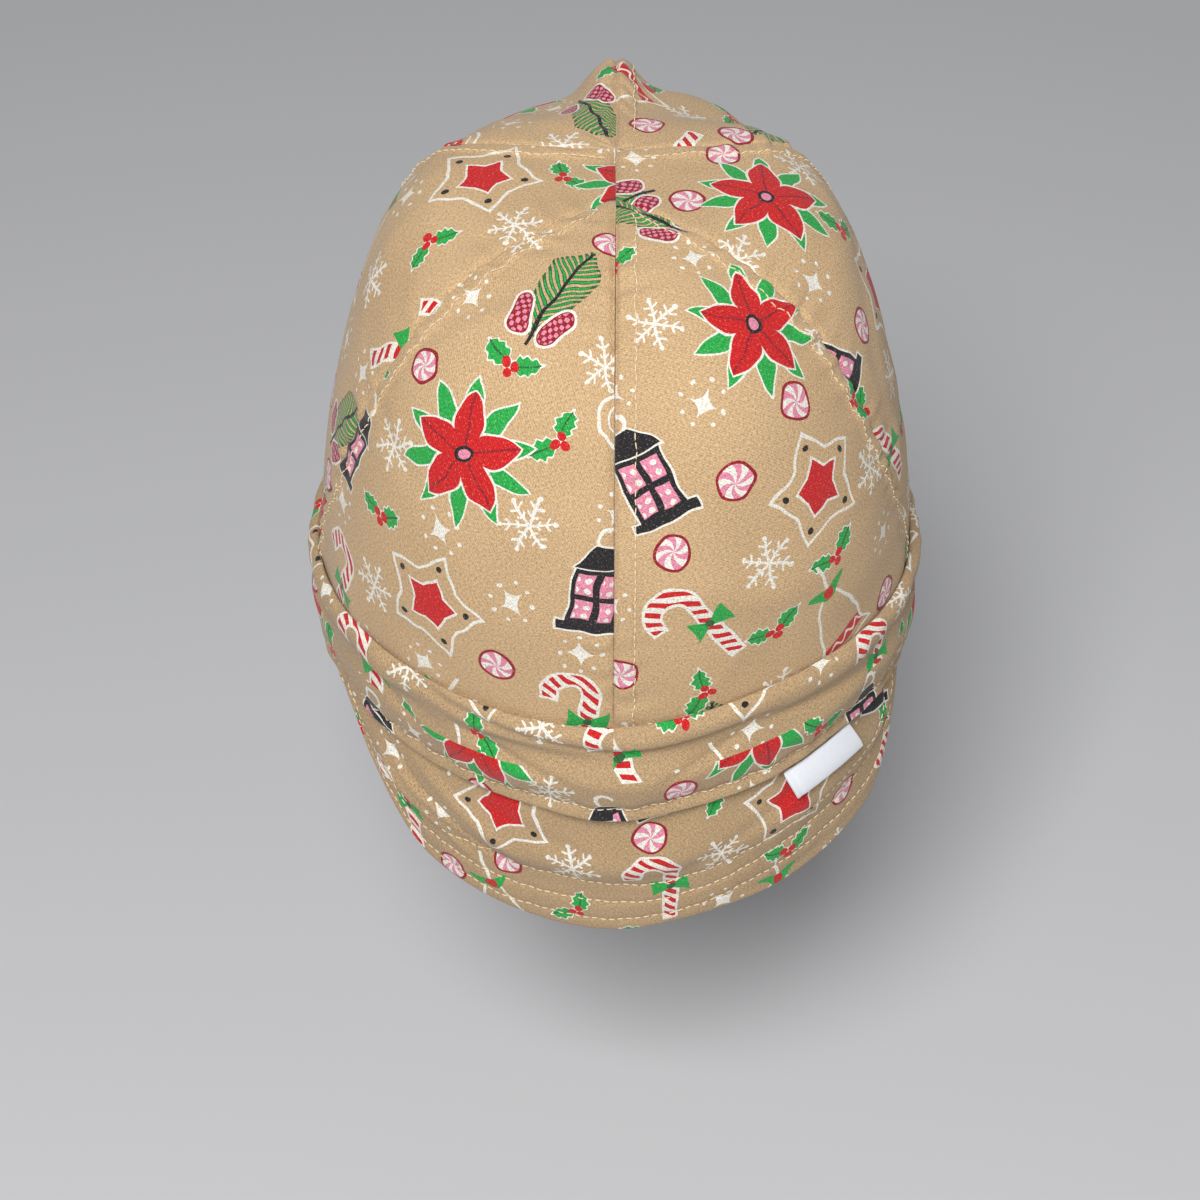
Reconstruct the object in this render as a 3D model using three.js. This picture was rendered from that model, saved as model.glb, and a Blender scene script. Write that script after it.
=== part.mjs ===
// A soft cotton work cap of the kind worn under a welding hood, in the form it takes on a
// head: six crown panels, a folded band, a stitched cloth peak that hangs down the nape and
// a small folded tag in the peak's seam.
// Millimetres, +Z up. The peak hangs on the -Y side. The origin is the middle of the head
// opening, level with the band's lower edge at the ears. Azimuths are in degrees, from 0 at
// the peak's middle, positive towards +X, to 180 at the brow.
import * as THREE from "three";

// Crown, measured on the outer face of the cloth.
const CROWN_WIDTH = 171;
const NAPE_REACH = 87;
const BROW_REACH = 105;
const CROWN_HEIGHT = 145;
const CROWN_WALL = 1.7;
const CROWN_TUCK = 6;
const SEAM_GAP = 0.3;

// Band, a folded strip sewn round the crown's foot.
const BAND_HEIGHT = 31;
const BAND_WALL = 2.4;
const FIT_GAP = 0.35;

// Peak, two layers of cloth over a stiffener, sewn behind the band's lower edge.
const PEAK_LENGTH = 50.6;
const PEAK_WALL = 2.6;
const PEAK_TUCK = 5;
const PEAK_HALF_SWEEP = 82;

// Folded tag, sewn in the seam between band and peak.
const TAG_LENGTH = 25;
const TAG_DROP = 9.2;
const TAG_SLANT = 1.6;
const TAG_LEAN = 2;
const TAG_WALL = 0.9;
const TAG_BOW = 2.2;
const TAG_AZIMUTH = 41.5;

// How finely the cloth is divided.
const PANEL_COLUMNS = 12;
const PANEL_ROWS = 20;
const BAND_STEPS = 84;
const PEAK_COLUMNS = 44;
const PEAK_ROWS = 9;
const TAG_COLUMNS = 10;

// Section of the crown by azimuth. plan and rise are the powers that square the section off
// towards the sides and the top, and belly is how far it swells out between foot and top.
const CROWN_SECTIONS = [
  { azimuth: 0, plan: 0.8, rise: 0.84, belly: 0.03 },
  { azimuth: 50, plan: 0.72, rise: 0.82, belly: -0.01 },
  { azimuth: 90, plan: 0.5, rise: 0.79, belly: -0.11 },
  { azimuth: 130, plan: 0.5, rise: 0.78, belly: -0.1 },
  { azimuth: 180, plan: 0.72, rise: 0.86, belly: 0 },
];

// Azimuths of the crown's seams from the band's top edge, at 0, to the middle seam, at 1.
// The nape and brow columns are the two halves of the middle seam itself.
const SEAMS = [
  { at: 0, nape: 0, back: 80, front: 118, brow: 180 },
  { at: 0.15, nape: 0, back: 70, front: 117, brow: 180 },
  { at: 0.3, nape: 0, back: 63, front: 116, brow: 180 },
  { at: 0.5, nape: 0, back: 58, front: 114, brow: 180 },
  { at: 0.75, nape: 0, back: 54, front: 111, brow: 180 },
  { at: 1, nape: 0, back: 52, front: 104, brow: 180 },
];

// Where the seams end on the middle seam, along Y.
const BACK_SEAMS_END = -8;
const FRONT_SEAMS_END = 17;
const SEAM_TOPS = {
  nape: BACK_SEAMS_END,
  back: BACK_SEAMS_END,
  front: FRONT_SEAMS_END,
  brow: FRONT_SEAMS_END,
};

// The panels of one half: the seams that bound them, and how far the cloth puffs out between
// its seams, as a share of the crown's height.
const PANELS = [
  { name: "panel_back", from: "nape", to: "back", puff: 0.02 },
  { name: "panel_side", from: "back", to: "front", puff: 0.014 },
  { name: "panel_front", from: "front", to: "brow", puff: 0.014 },
];

// Folds and dents of the crown. x is a share of half its width, y of the reach on that side
// and z of its height. aim is the fold's direction, long, wide and rise are shares of the
// crown's height, and a negative rise is a dent.
const FOLDS = [
  { name: "brow ridge", x: -0.01, y: 0.6, z: 0.95, aim: [0, 0.8, -0.5], long: 0.17, wide: 0.06, rise: 0.082 },
  { name: "ridge shoulder", x: 0.19, y: 0.56, z: 0.94, aim: [0.5, 0.6, -0.6], long: 0.12, wide: 0.07, rise: 0.022 },
  { name: "right hollow", x: 0.34, y: 0.48, z: 0.91, aim: [1, 0.1, -0.2], long: 0.17, wide: 0.1, rise: -0.078 },
  { name: "left hollow", x: -0.34, y: 0.5, z: 0.92, aim: [1, 0.1, 0.2], long: 0.2, wide: 0.12, rise: -0.05 },
];

// Section of the band by azimuth: the height of its top edge and how far it reaches down
// from there, as shares of the band's height, and how far it leans in, in degrees.
const BAND_SECTIONS = [
  { azimuth: -180, top: 1, tall: 1, lean: 2 },
  { azimuth: -130, top: 1, tall: 1, lean: 2 },
  { azimuth: -85, top: 1.04, tall: 1.02, lean: 0 },
  { azimuth: -65, top: 1.09, tall: 1.12, lean: 4 },
  { azimuth: -45, top: 1.09, tall: 1.17, lean: 7 },
  { azimuth: -20, top: 1.01, tall: 1.15, lean: 6 },
  { azimuth: 0, top: 0.98, tall: 1.14, lean: 1 },
  { azimuth: 14, top: 1.06, tall: 1.14, lean: 1 },
  { azimuth: 28, top: 1.15, tall: 1.13, lean: 1 },
  { azimuth: 45, top: 1.17, tall: 1.03, lean: 0 },
  { azimuth: 65, top: 1.11, tall: 0.99, lean: 0 },
  { azimuth: 85, top: 1.05, tall: 1, lean: 0 },
  { azimuth: 130, top: 1, tall: 1, lean: 2 },
  { azimuth: 180, top: 1, tall: 1, lean: 2 },
];

// Relief of the band's outer face from its top edge, at 0, to its lower edge, at 1: a puffed
// fold, a crease below it, a swell, the row of stitches and the hem below that, as shares of
// the band's height. slack is how much of it is left at the sides and the brow, where the
// strip is pulled smooth.
const BAND_RELIEF = [
  { at: 0, out: -0.02, slack: 1 },
  { at: 0.07, out: 0.045, slack: 1 },
  { at: 0.19, out: 0.055, slack: 0.8 },
  { at: 0.33, out: -0.045, slack: 0.2 },
  { at: 0.55, out: 0.055, slack: 0.5 },
  { at: 0.76, out: 0.025, slack: 0.5 },
  { at: 0.87, out: -0.03, slack: 1 },
  { at: 1, out: -0.01, slack: 1 },
];

// The peak by azimuth: its reach as a share of its length, and how far it leans in towards
// the neck, in degrees. A negative lean flares away.
const PEAK_SECTIONS = [
  { azimuth: -82, reach: 0.03, lean: 1 },
  { azimuth: -73, reach: 0.17, lean: 3 },
  { azimuth: -65, reach: 0.43, lean: 3 },
  { azimuth: -52, reach: 0.77, lean: 2 },
  { azimuth: -44, reach: 0.91, lean: 2 },
  { azimuth: -20, reach: 1, lean: 3 },
  { azimuth: 0, reach: 1, lean: 4 },
  { azimuth: 20, reach: 1, lean: 3 },
  { azimuth: 33, reach: 1, lean: 1 },
  { azimuth: 44, reach: 0.98, lean: 0 },
  { azimuth: 54, reach: 0.89, lean: -2 },
  { azimuth: 62, reach: 0.75, lean: -4 },
  { azimuth: 73, reach: 0.33, lean: -5 },
  { azimuth: 82, reach: 0.02, lean: -3 },
];

// Relief of the peak from the band, at 0, to its edge, at 1, as shares of its reach: it
// draws in under the seam, swells where the layers are loose and lies flat in the border.
const PEAK_RELIEF = [
  { at: 0, out: 0 },
  { at: 0.08, out: -0.008 },
  { at: 0.37, out: 0.054 },
  { at: 0.6, out: 0.013 },
  { at: 0.79, out: 0.013 },
  { at: 1, out: 0 },
];

const radians = THREE.MathUtils.degToRad;
const mix = THREE.MathUtils.lerp;
const signedPower = (value, power) => Math.sign(value) * Math.abs(value) ** power;

// An azimuth brought into -180 to 180.
const wrapped = (azimuth) => ((((azimuth + 180) % 360) + 360) % 360) - 180;

// The smooth value of one column of a table at a place along its first column.
function column(table, key, place) {
  const stop = Object.keys(table[0]).find((name) => name === "azimuth" || name === "at");
  const last = table.length - 1;
  const at = Math.min(Math.max(place, table[0][stop]), table[last][stop]);
  let i = 0;
  while (i < last - 1 && at > table[i + 1][stop]) i += 1;
  const slope = (j) => {
    if (j === 0 || j === last) return 0;
    return (table[j + 1][key] - table[j - 1][key]) / (table[j + 1][stop] - table[j - 1][stop]);
  };
  const span = table[i + 1][stop] - table[i][stop];
  const s = (at - table[i][stop]) / span;
  const low = table[i][key] * (1 + 2 * s) * (1 - s) ** 2 + slope(i) * span * s * (1 - s) ** 2;
  const high = table[i + 1][key] * s ** 2 * (3 - 2 * s) - slope(i + 1) * span * s ** 2 * (1 - s);
  return low + high;
}

// The crown's foot in plan, on the outer face: a slightly squared oval.
const FOOT_SQUARENESS = 0.99;
function foot(azimuth) {
  const turn = radians(azimuth);
  const reach = Math.cos(turn) > 0 ? NAPE_REACH : BROW_REACH;
  return new THREE.Vector3(
    (CROWN_WIDTH / 2) * signedPower(Math.sin(turn), FOOT_SQUARENESS),
    -reach * signedPower(Math.cos(turn), FOOT_SQUARENESS),
    BAND_HEIGHT * column(BAND_SECTIONS, "top", wrapped(azimuth)),
  );
}

// The level outward direction at the crown's foot.
const SLOPE_STEP = 0.5;
function outward(azimuth) {
  const along = foot(azimuth + SLOPE_STEP).sub(foot(azimuth - SLOPE_STEP)).setZ(0).normalize();
  return new THREE.Vector3(along.y, -along.x, 0);
}

// The direction square to the crown, taken from the plain oval dome that it follows, so that
// panels which meet in a seam are moved alike there.
function away(point) {
  const reach = point.y > 0 ? BROW_REACH : NAPE_REACH;
  return new THREE.Vector3(
    point.x / (CROWN_WIDTH / 2) ** 2,
    point.y / reach ** 2,
    Math.max(point.z - BAND_HEIGHT, 0) / (CROWN_HEIGHT - BAND_HEIGHT) ** 2,
  ).normalize();
}

// How far the folds and dents push the cloth out at a point.
function foldRise(point) {
  let rise = 0;
  for (const fold of FOLDS) {
    const centre = new THREE.Vector3(
      (fold.x * CROWN_WIDTH) / 2,
      fold.y * (fold.y > 0 ? BROW_REACH : NAPE_REACH),
      fold.z * CROWN_HEIGHT,
    );
    const aim = new THREE.Vector3(...fold.aim).normalize();
    const off = point.clone().sub(centre);
    const along = off.dot(aim);
    const across = off.addScaledVector(aim, -along).length();
    const fade = (along / (fold.long * CROWN_HEIGHT)) ** 2 + (across / (fold.wide * CROWN_HEIGHT)) ** 2;
    rise += fold.rise * CROWN_HEIGHT * Math.exp(-fade);
  }
  return rise;
}

// The azimuth of a place in a panel, without its sign. share runs round the panel, and climb
// from 0 at the band's top edge to 1 on the middle seam.
function levelAt(panel, share, climb) {
  const near = panel.side > 0 ? share : 1 - share;
  return mix(column(SEAMS, panel.from, climb), column(SEAMS, panel.to, climb), near);
}

// A point of the crown's outer face.
function crownPoint(panel, share, climb) {
  const near = panel.side > 0 ? share : 1 - share;
  const level = levelAt(panel, share, climb);
  const azimuth = panel.side * level;
  const start = foot(azimuth);
  const top = mix(SEAM_TOPS[panel.from], SEAM_TOPS[panel.to], near);
  const angle = (climb * Math.PI) / 2;
  const belly = column(CROWN_SECTIONS, "belly", level) * Math.sin(Math.PI * climb) * Math.cos(angle);
  const plan = Math.max(Math.cos(angle), 0) ** column(CROWN_SECTIONS, "plan", level) + belly;
  const rise = Math.sin(angle) ** column(CROWN_SECTIONS, "rise", level);
  const point = new THREE.Vector3(
    start.x * plan,
    top + (start.y - top) * plan,
    start.z + (CROWN_HEIGHT - start.z) * rise,
  );
  const puff = panel.puff * CROWN_HEIGHT * Math.sin(Math.PI * share) * Math.sin(Math.PI * climb);
  return point.addScaledVector(away(point), puff + foldRise(point));
}

// A closed shell between two grids of points of the same size, outer first.
function shell(outer, inner) {
  const rows = outer.length;
  const columns = outer[0].length;
  const positions = [...outer.flat(), ...inner.flat()].flatMap((p) => [p.x, p.y, p.z]);
  const index = (layer, row, col) => layer * rows * columns + row * columns + col;
  const faces = [];
  const quad = (a, b, c, d) => faces.push(a, b, c, a, c, d);
  for (let r = 0; r < rows - 1; r += 1) {
    for (let c = 0; c < columns - 1; c += 1) {
      quad(index(0, r, c), index(0, r, c + 1), index(0, r + 1, c + 1), index(0, r + 1, c));
      quad(index(1, r, c), index(1, r + 1, c), index(1, r + 1, c + 1), index(1, r, c + 1));
    }
    quad(index(0, r, 0), index(0, r + 1, 0), index(1, r + 1, 0), index(1, r, 0));
    const end = columns - 1;
    quad(index(0, r, end), index(1, r, end), index(1, r + 1, end), index(0, r + 1, end));
  }
  for (let c = 0; c < columns - 1; c += 1) {
    const top = rows - 1;
    quad(index(0, 0, c), index(1, 0, c), index(1, 0, c + 1), index(0, 0, c + 1));
    quad(index(0, top, c), index(0, top, c + 1), index(1, top, c + 1), index(1, top, c));
  }
  return solid(positions, faces);
}

function solid(positions, faces) {
  const geometry = new THREE.BufferGeometry();
  geometry.setAttribute("position", new THREE.Float32BufferAttribute(positions, 3));
  geometry.setIndex(faces);
  geometry.computeVertexNormals();
  return geometry;
}

// One crown panel: its cloth from inside the band's top edge to the middle seam. Its sides
// stop half a gap short of the seams, and it ends where it has grown too narrow to sew.
const NARROWEST = 1.2;
function crownPanel(panel) {
  const pointed = SEAM_TOPS[panel.from] === SEAM_TOPS[panel.to];
  const width = (climb) => crownPoint(panel, 0, climb).distanceTo(crownPoint(panel, 1, climb));
  let last = 1;
  while (pointed && width(last) < NARROWEST) last -= 0.001;
  const outer = [];
  const inner = [];
  for (let r = -1; r <= PANEL_ROWS; r += 1) {
    const climb = last * (Math.max(r, 0) / PANEL_ROWS);
    const margin = SEAM_GAP / 2 / width(climb);
    const outerRow = [];
    const innerRow = [];
    for (let c = 0; c <= PANEL_COLUMNS; c += 1) {
      const share = mix(margin, 1 - margin, c / PANEL_COLUMNS);
      const azimuth = panel.side * levelAt(panel, share, climb);
      const point = r < 0 ? behindBand(azimuth, CROWN_TUCK / BAND_HEIGHT) : crownPoint(panel, share, climb);
      if (!pointed && r === PANEL_ROWS) point.x = (panel.side * SEAM_GAP) / 2;
      const under = point.clone().addScaledVector(away(point), -CROWN_WALL);
      if (!pointed && r === PANEL_ROWS) under.x = point.x;
      outerRow.push(point);
      innerRow.push(under);
    }
    outer.push(outerRow);
    inner.push(innerRow);
  }
  return shell(outer, inner);
}

// A place on the band's smooth outer face: depth is 0 at its top edge and 1 at its lower.
function bandForm(azimuth, depth) {
  const lean = radians(column(BAND_SECTIONS, "lean", wrapped(azimuth)));
  const fall = BAND_HEIGHT * column(BAND_SECTIONS, "tall", wrapped(azimuth)) * depth;
  return foot(azimuth)
    .addScaledVector(outward(azimuth), FIT_GAP + BAND_WALL - fall * Math.sin(lean))
    .add(new THREE.Vector3(0, 0, -fall * Math.cos(lean)));
}

// A place just inside the band, where what is sewn to it lies.
function behindBand(azimuth, depth) {
  return bandForm(azimuth, depth).addScaledVector(outward(azimuth), -BAND_WALL - FIT_GAP);
}

// The folded band, a closed ring: its relief outside, smooth inside.
function band() {
  const outer = [];
  const inner = [];
  const top = BAND_RELIEF.length - 1;
  for (let i = top; i >= 0; i -= 1) {
    const { at, out: relief, slack } = BAND_RELIEF[i];
    const outerRow = [];
    const innerRow = [];
    for (let s = 0; s < BAND_STEPS; s += 1) {
      const azimuth = (360 * s) / BAND_STEPS;
      const loose = mix(slack, 1, Math.cos(radians(azimuth) / 2) ** 6);
      const base = bandForm(azimuth, at);
      const out = outward(azimuth);
      outerRow.push(base.clone().addScaledVector(out, relief * loose * BAND_HEIGHT));
      innerRow.push(base.clone().addScaledVector(out, -BAND_WALL));
    }
    outer.push(outerRow);
    inner.push(innerRow);
  }
  return ring(outer, inner);
}

// A closed ring between two grids whose rows each run once round.
function ring(outer, inner) {
  const rows = outer.length;
  const columns = outer[0].length;
  const positions = [...outer.flat(), ...inner.flat()].flatMap((p) => [p.x, p.y, p.z]);
  const index = (layer, row, col) => layer * rows * columns + row * columns + (col % columns);
  const faces = [];
  const quad = (a, b, c, d) => faces.push(a, b, c, a, c, d);
  for (let c = 0; c < columns; c += 1) {
    for (let r = 0; r < rows - 1; r += 1) {
      quad(index(0, r, c), index(0, r, c + 1), index(0, r + 1, c + 1), index(0, r + 1, c));
      quad(index(1, r, c), index(1, r + 1, c), index(1, r + 1, c + 1), index(1, r, c + 1));
    }
    const top = rows - 1;
    quad(index(0, 0, c), index(1, 0, c), index(1, 0, c + 1), index(0, 0, c + 1));
    quad(index(0, top, c), index(0, top, c + 1), index(1, top, c + 1), index(1, top, c));
  }
  return solid(positions, faces);
}

// A place on the peak's outer face: drop is 0 at the band's lower edge, 1 at the peak's edge
// and below 0 behind the band.
function peakPoint(azimuth, drop) {
  if (drop < 0) return behindBand(azimuth, 1 - PEAK_TUCK / BAND_HEIGHT);
  const lean = radians(column(PEAK_SECTIONS, "lean", azimuth));
  const reach = PEAK_LENGTH * column(PEAK_SECTIONS, "reach", azimuth);
  const relief = reach * column(PEAK_RELIEF, "out", drop);
  return behindBand(azimuth, 1)
    .addScaledVector(outward(azimuth), relief - reach * drop * Math.sin(lean))
    .add(new THREE.Vector3(0, 0, -reach * drop * Math.cos(lean)));
}

// The peak: an outer face and an inner one a wall's thickness towards the neck.
function peak() {
  const outer = [];
  const inner = [];
  for (let r = PEAK_ROWS; r >= -1; r -= 1) {
    const drop = r / PEAK_ROWS;
    const outerRow = [];
    const innerRow = [];
    for (let c = 0; c <= PEAK_COLUMNS; c += 1) {
      const azimuth = mix(-PEAK_HALF_SWEEP, PEAK_HALF_SWEEP, c / PEAK_COLUMNS);
      const point = peakPoint(azimuth, r < 0 ? -1 : drop);
      outerRow.push(point);
      innerRow.push(point.clone().addScaledVector(outward(azimuth), -PEAK_WALL));
    }
    outer.push(outerRow);
    inner.push(innerRow);
  }
  return shell(outer, inner);
}

// The tag: a folded strip that hangs from the seam over the peak and bows away from it, with
// its end towards the middle of the peak lower than the other.
function tag() {
  const outer = [];
  const inner = [];
  const arc = (TAG_LENGTH / (CROWN_WIDTH / 2)) * THREE.MathUtils.RAD2DEG;
  for (let r = 4; r >= 0; r -= 1) {
    const outerRow = [];
    const innerRow = [];
    for (let c = 0; c <= TAG_COLUMNS; c += 1) {
      const along = mix(TAG_AZIMUTH - arc / 2, TAG_AZIMUTH + arc / 2, c / TAG_COLUMNS);
      const azimuth = along + (TAG_LEAN * r) / 4;
      const fall = FIT_GAP * 2 + (TAG_DROP * r) / 4 + TAG_SLANT * (1 - c / TAG_COLUMNS);
      const reach = PEAK_LENGTH * column(PEAK_SECTIONS, "reach", azimuth);
      const bow = TAG_BOW * Math.sin((Math.PI * r) / 4 / 1.6);
      const out = outward(azimuth);
      const low = peakPoint(azimuth, fall / reach).addScaledVector(out, FIT_GAP + bow);
      innerRow.push(low);
      outerRow.push(low.clone().addScaledVector(out, TAG_WALL));
    }
    outer.push(outerRow);
    inner.push(innerRow);
  }
  return shell(outer, inner);
}

const cotton = new THREE.MeshStandardMaterial({ color: 0xc4a06a, roughness: 0.92, metalness: 0 });
const bandCotton = new THREE.MeshStandardMaterial({ color: 0xb8935f, roughness: 0.92, metalness: 0 });
const peakCotton = new THREE.MeshStandardMaterial({ color: 0xbd9863, roughness: 0.92, metalness: 0 });
const satin = new THREE.MeshStandardMaterial({ color: 0xe6e8ee, roughness: 0.5, metalness: 0 });

const cap = new THREE.Group();
function add(name, geometry, material) {
  const mesh = new THREE.Mesh(geometry, material);
  mesh.name = name;
  cap.add(mesh);
}

for (const [half, side] of [["right", 1], ["left", -1]]) {
  for (const panel of PANELS) add(`${panel.name}_${half}`, crownPanel({ ...panel, side }), cotton);
}
add("band", band(), bandCotton);
add("peak", peak(), peakCotton);
add("tag", tag(), satin);

export default cap;
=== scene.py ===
"""A printed cotton welding cap, in the form it takes on a head, with the peak over the nape.

Lengths in the tables are millimetres or shares of the named sizes, and meshes are made in
metres. +Z is up, -Y is the peak's side, and azimuths run in degrees from the peak's middle.
"""
import sys
import logging
import math
from collections.abc import Callable, Sequence
from dataclasses import dataclass, field
from enum import Enum

import bpy
import numpy as np
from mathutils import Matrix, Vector


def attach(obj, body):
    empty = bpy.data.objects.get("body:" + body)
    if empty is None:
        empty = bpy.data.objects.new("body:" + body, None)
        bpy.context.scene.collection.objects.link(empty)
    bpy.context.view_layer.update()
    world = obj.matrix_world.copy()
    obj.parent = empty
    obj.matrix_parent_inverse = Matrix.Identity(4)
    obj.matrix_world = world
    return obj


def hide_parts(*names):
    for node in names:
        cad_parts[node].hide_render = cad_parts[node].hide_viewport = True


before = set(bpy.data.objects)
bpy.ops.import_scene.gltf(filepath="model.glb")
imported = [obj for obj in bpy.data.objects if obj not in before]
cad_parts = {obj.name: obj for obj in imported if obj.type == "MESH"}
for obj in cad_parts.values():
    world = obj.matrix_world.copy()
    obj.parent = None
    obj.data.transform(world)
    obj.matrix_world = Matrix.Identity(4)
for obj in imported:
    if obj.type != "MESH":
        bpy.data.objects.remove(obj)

log = logging.getLogger("welding_cap")

MM = 0.001
BODY = "root"
CLOTH_MAP = "cloth"

Array = np.ndarray
Object = bpy.types.Object
Material = bpy.types.Material
Colour = tuple[float, float, float, float]
Path = tuple[Array, Array]


# Tables of named columns


@dataclass(frozen=True)
class Table:
    """Rows of named columns; the first column holds the stops."""

    columns: tuple[str, ...]
    rows: tuple[tuple[float, ...], ...]

    def read(self, name: str, place: Array) -> Array:
        """Reads one column smoothly between its stops.

        Args:
            name: The column.
            place: Where to read it, in the units of the first column.

        Returns:
            The column's value at each place.
        """
        rows = np.array(self.rows)
        stops = rows[:, 0]
        values = rows[:, self.columns.index(name)]
        slopes = np.zeros(len(stops))
        slopes[1:-1] = (values[2:] - values[:-2]) / (stops[2:] - stops[:-2])
        at = np.clip(np.asarray(place, dtype=float), stops[0], stops[-1])
        i = np.clip(np.searchsorted(stops, at, side="right") - 1, 0, len(stops) - 2)
        span = stops[i + 1] - stops[i]
        s = (at - stops[i]) / span
        low = values[i] * (1 + 2 * s) * (1 - s) ** 2 + slopes[i] * span * s * (1 - s) ** 2
        high = values[i + 1] * s**2 * (3 - 2 * s) - slopes[i + 1] * span * s**2 * (1 - s)
        return low + high


def wrapped(azimuth: Array) -> Array:
    """Brings azimuths into -180 to 180 degrees."""
    return (np.asarray(azimuth, dtype=float) + 180.0) % 360.0 - 180.0


def blend(low: Array | float, high: Array | float, share: Array | float) -> Array:
    """Mixes two values by a share from 0 to 1."""
    return low + (high - low) * share


def smooth(low: float, high: float, value: Array) -> Array:
    """Rises smoothly from 0 at low to 1 at high."""
    t = np.clip((value - low) / (high - low), 0.0, 1.0)
    return t * t * (3.0 - 2.0 * t)


def hump(off: Array, wide: float) -> Array:
    """A soft hump: 1 in the middle, and all but gone at twice its half width."""
    return np.exp(-((off / wide) ** 2))


def unit(vectors: Array) -> Array:
    """Scales the last axis of an array to length one."""
    return vectors / np.maximum(np.linalg.norm(vectors, axis=-1, keepdims=True), 1e-9)


def ripple(points: Array, length: float, seed: int) -> Array:
    """A smooth irregular wave in space, between about -1 and 1.

    Args:
        points: Places in millimetres, on the last axis.
        length: The usual distance between crests, in millimetres.
        seed: Chooses the waves.

    Returns:
        One value for each point.
    """
    chance = np.random.default_rng(seed)
    total = np.zeros(points.shape[:-1])
    for _ in range(7):
        aim = unit(chance.normal(size=3))
        stretch = length * chance.uniform(0.7, 1.5)
        total += np.sin(2.0 * np.pi * (points @ aim) / stretch + chance.uniform(0.0, 2.0 * np.pi))
    return total / math.sqrt(7.0)


# Shader maths


def operator(operation: str, swapped: bool = False) -> Callable[["Wire", object], "Wire"]:
    """Makes a Wire method that adds a Math node; swapped puts the wire on the right."""

    def method(wire: "Wire", other: object) -> "Wire":
        """Adds the node."""
        pair = (other, wire) if swapped else (wire, other)
        return wire.board.maths(operation, *pair)

    return method


class Wire:
    """A node socket that takes part in Python expressions."""

    def __init__(self, board: "Board", socket: bpy.types.NodeSocket) -> None:
        """Keeps the socket and the board that it is on."""
        self.board = board
        self.socket = socket

    __add__ = operator("ADD")
    __radd__ = operator("ADD", True)
    __sub__ = operator("SUBTRACT")
    __rsub__ = operator("SUBTRACT", True)
    __mul__ = operator("MULTIPLY")
    __truediv__ = operator("DIVIDE")
    __lt__ = operator("LESS_THAN")
    __gt__ = operator("GREATER_THAN")
    most = operator("MAXIMUM")
    least = operator("MINIMUM")

    def __abs__(self) -> "Wire":
        """The value without its sign."""
        return self.board.maths("ABSOLUTE", self)

    def do(self, operation: str, *others: object) -> "Wire":
        """Any other maths operation on this wire, by its name."""
        return self.board.maths(operation, self, *others)

    def squared(self) -> "Wire":
        """The wire times itself."""
        return self * self


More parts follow.
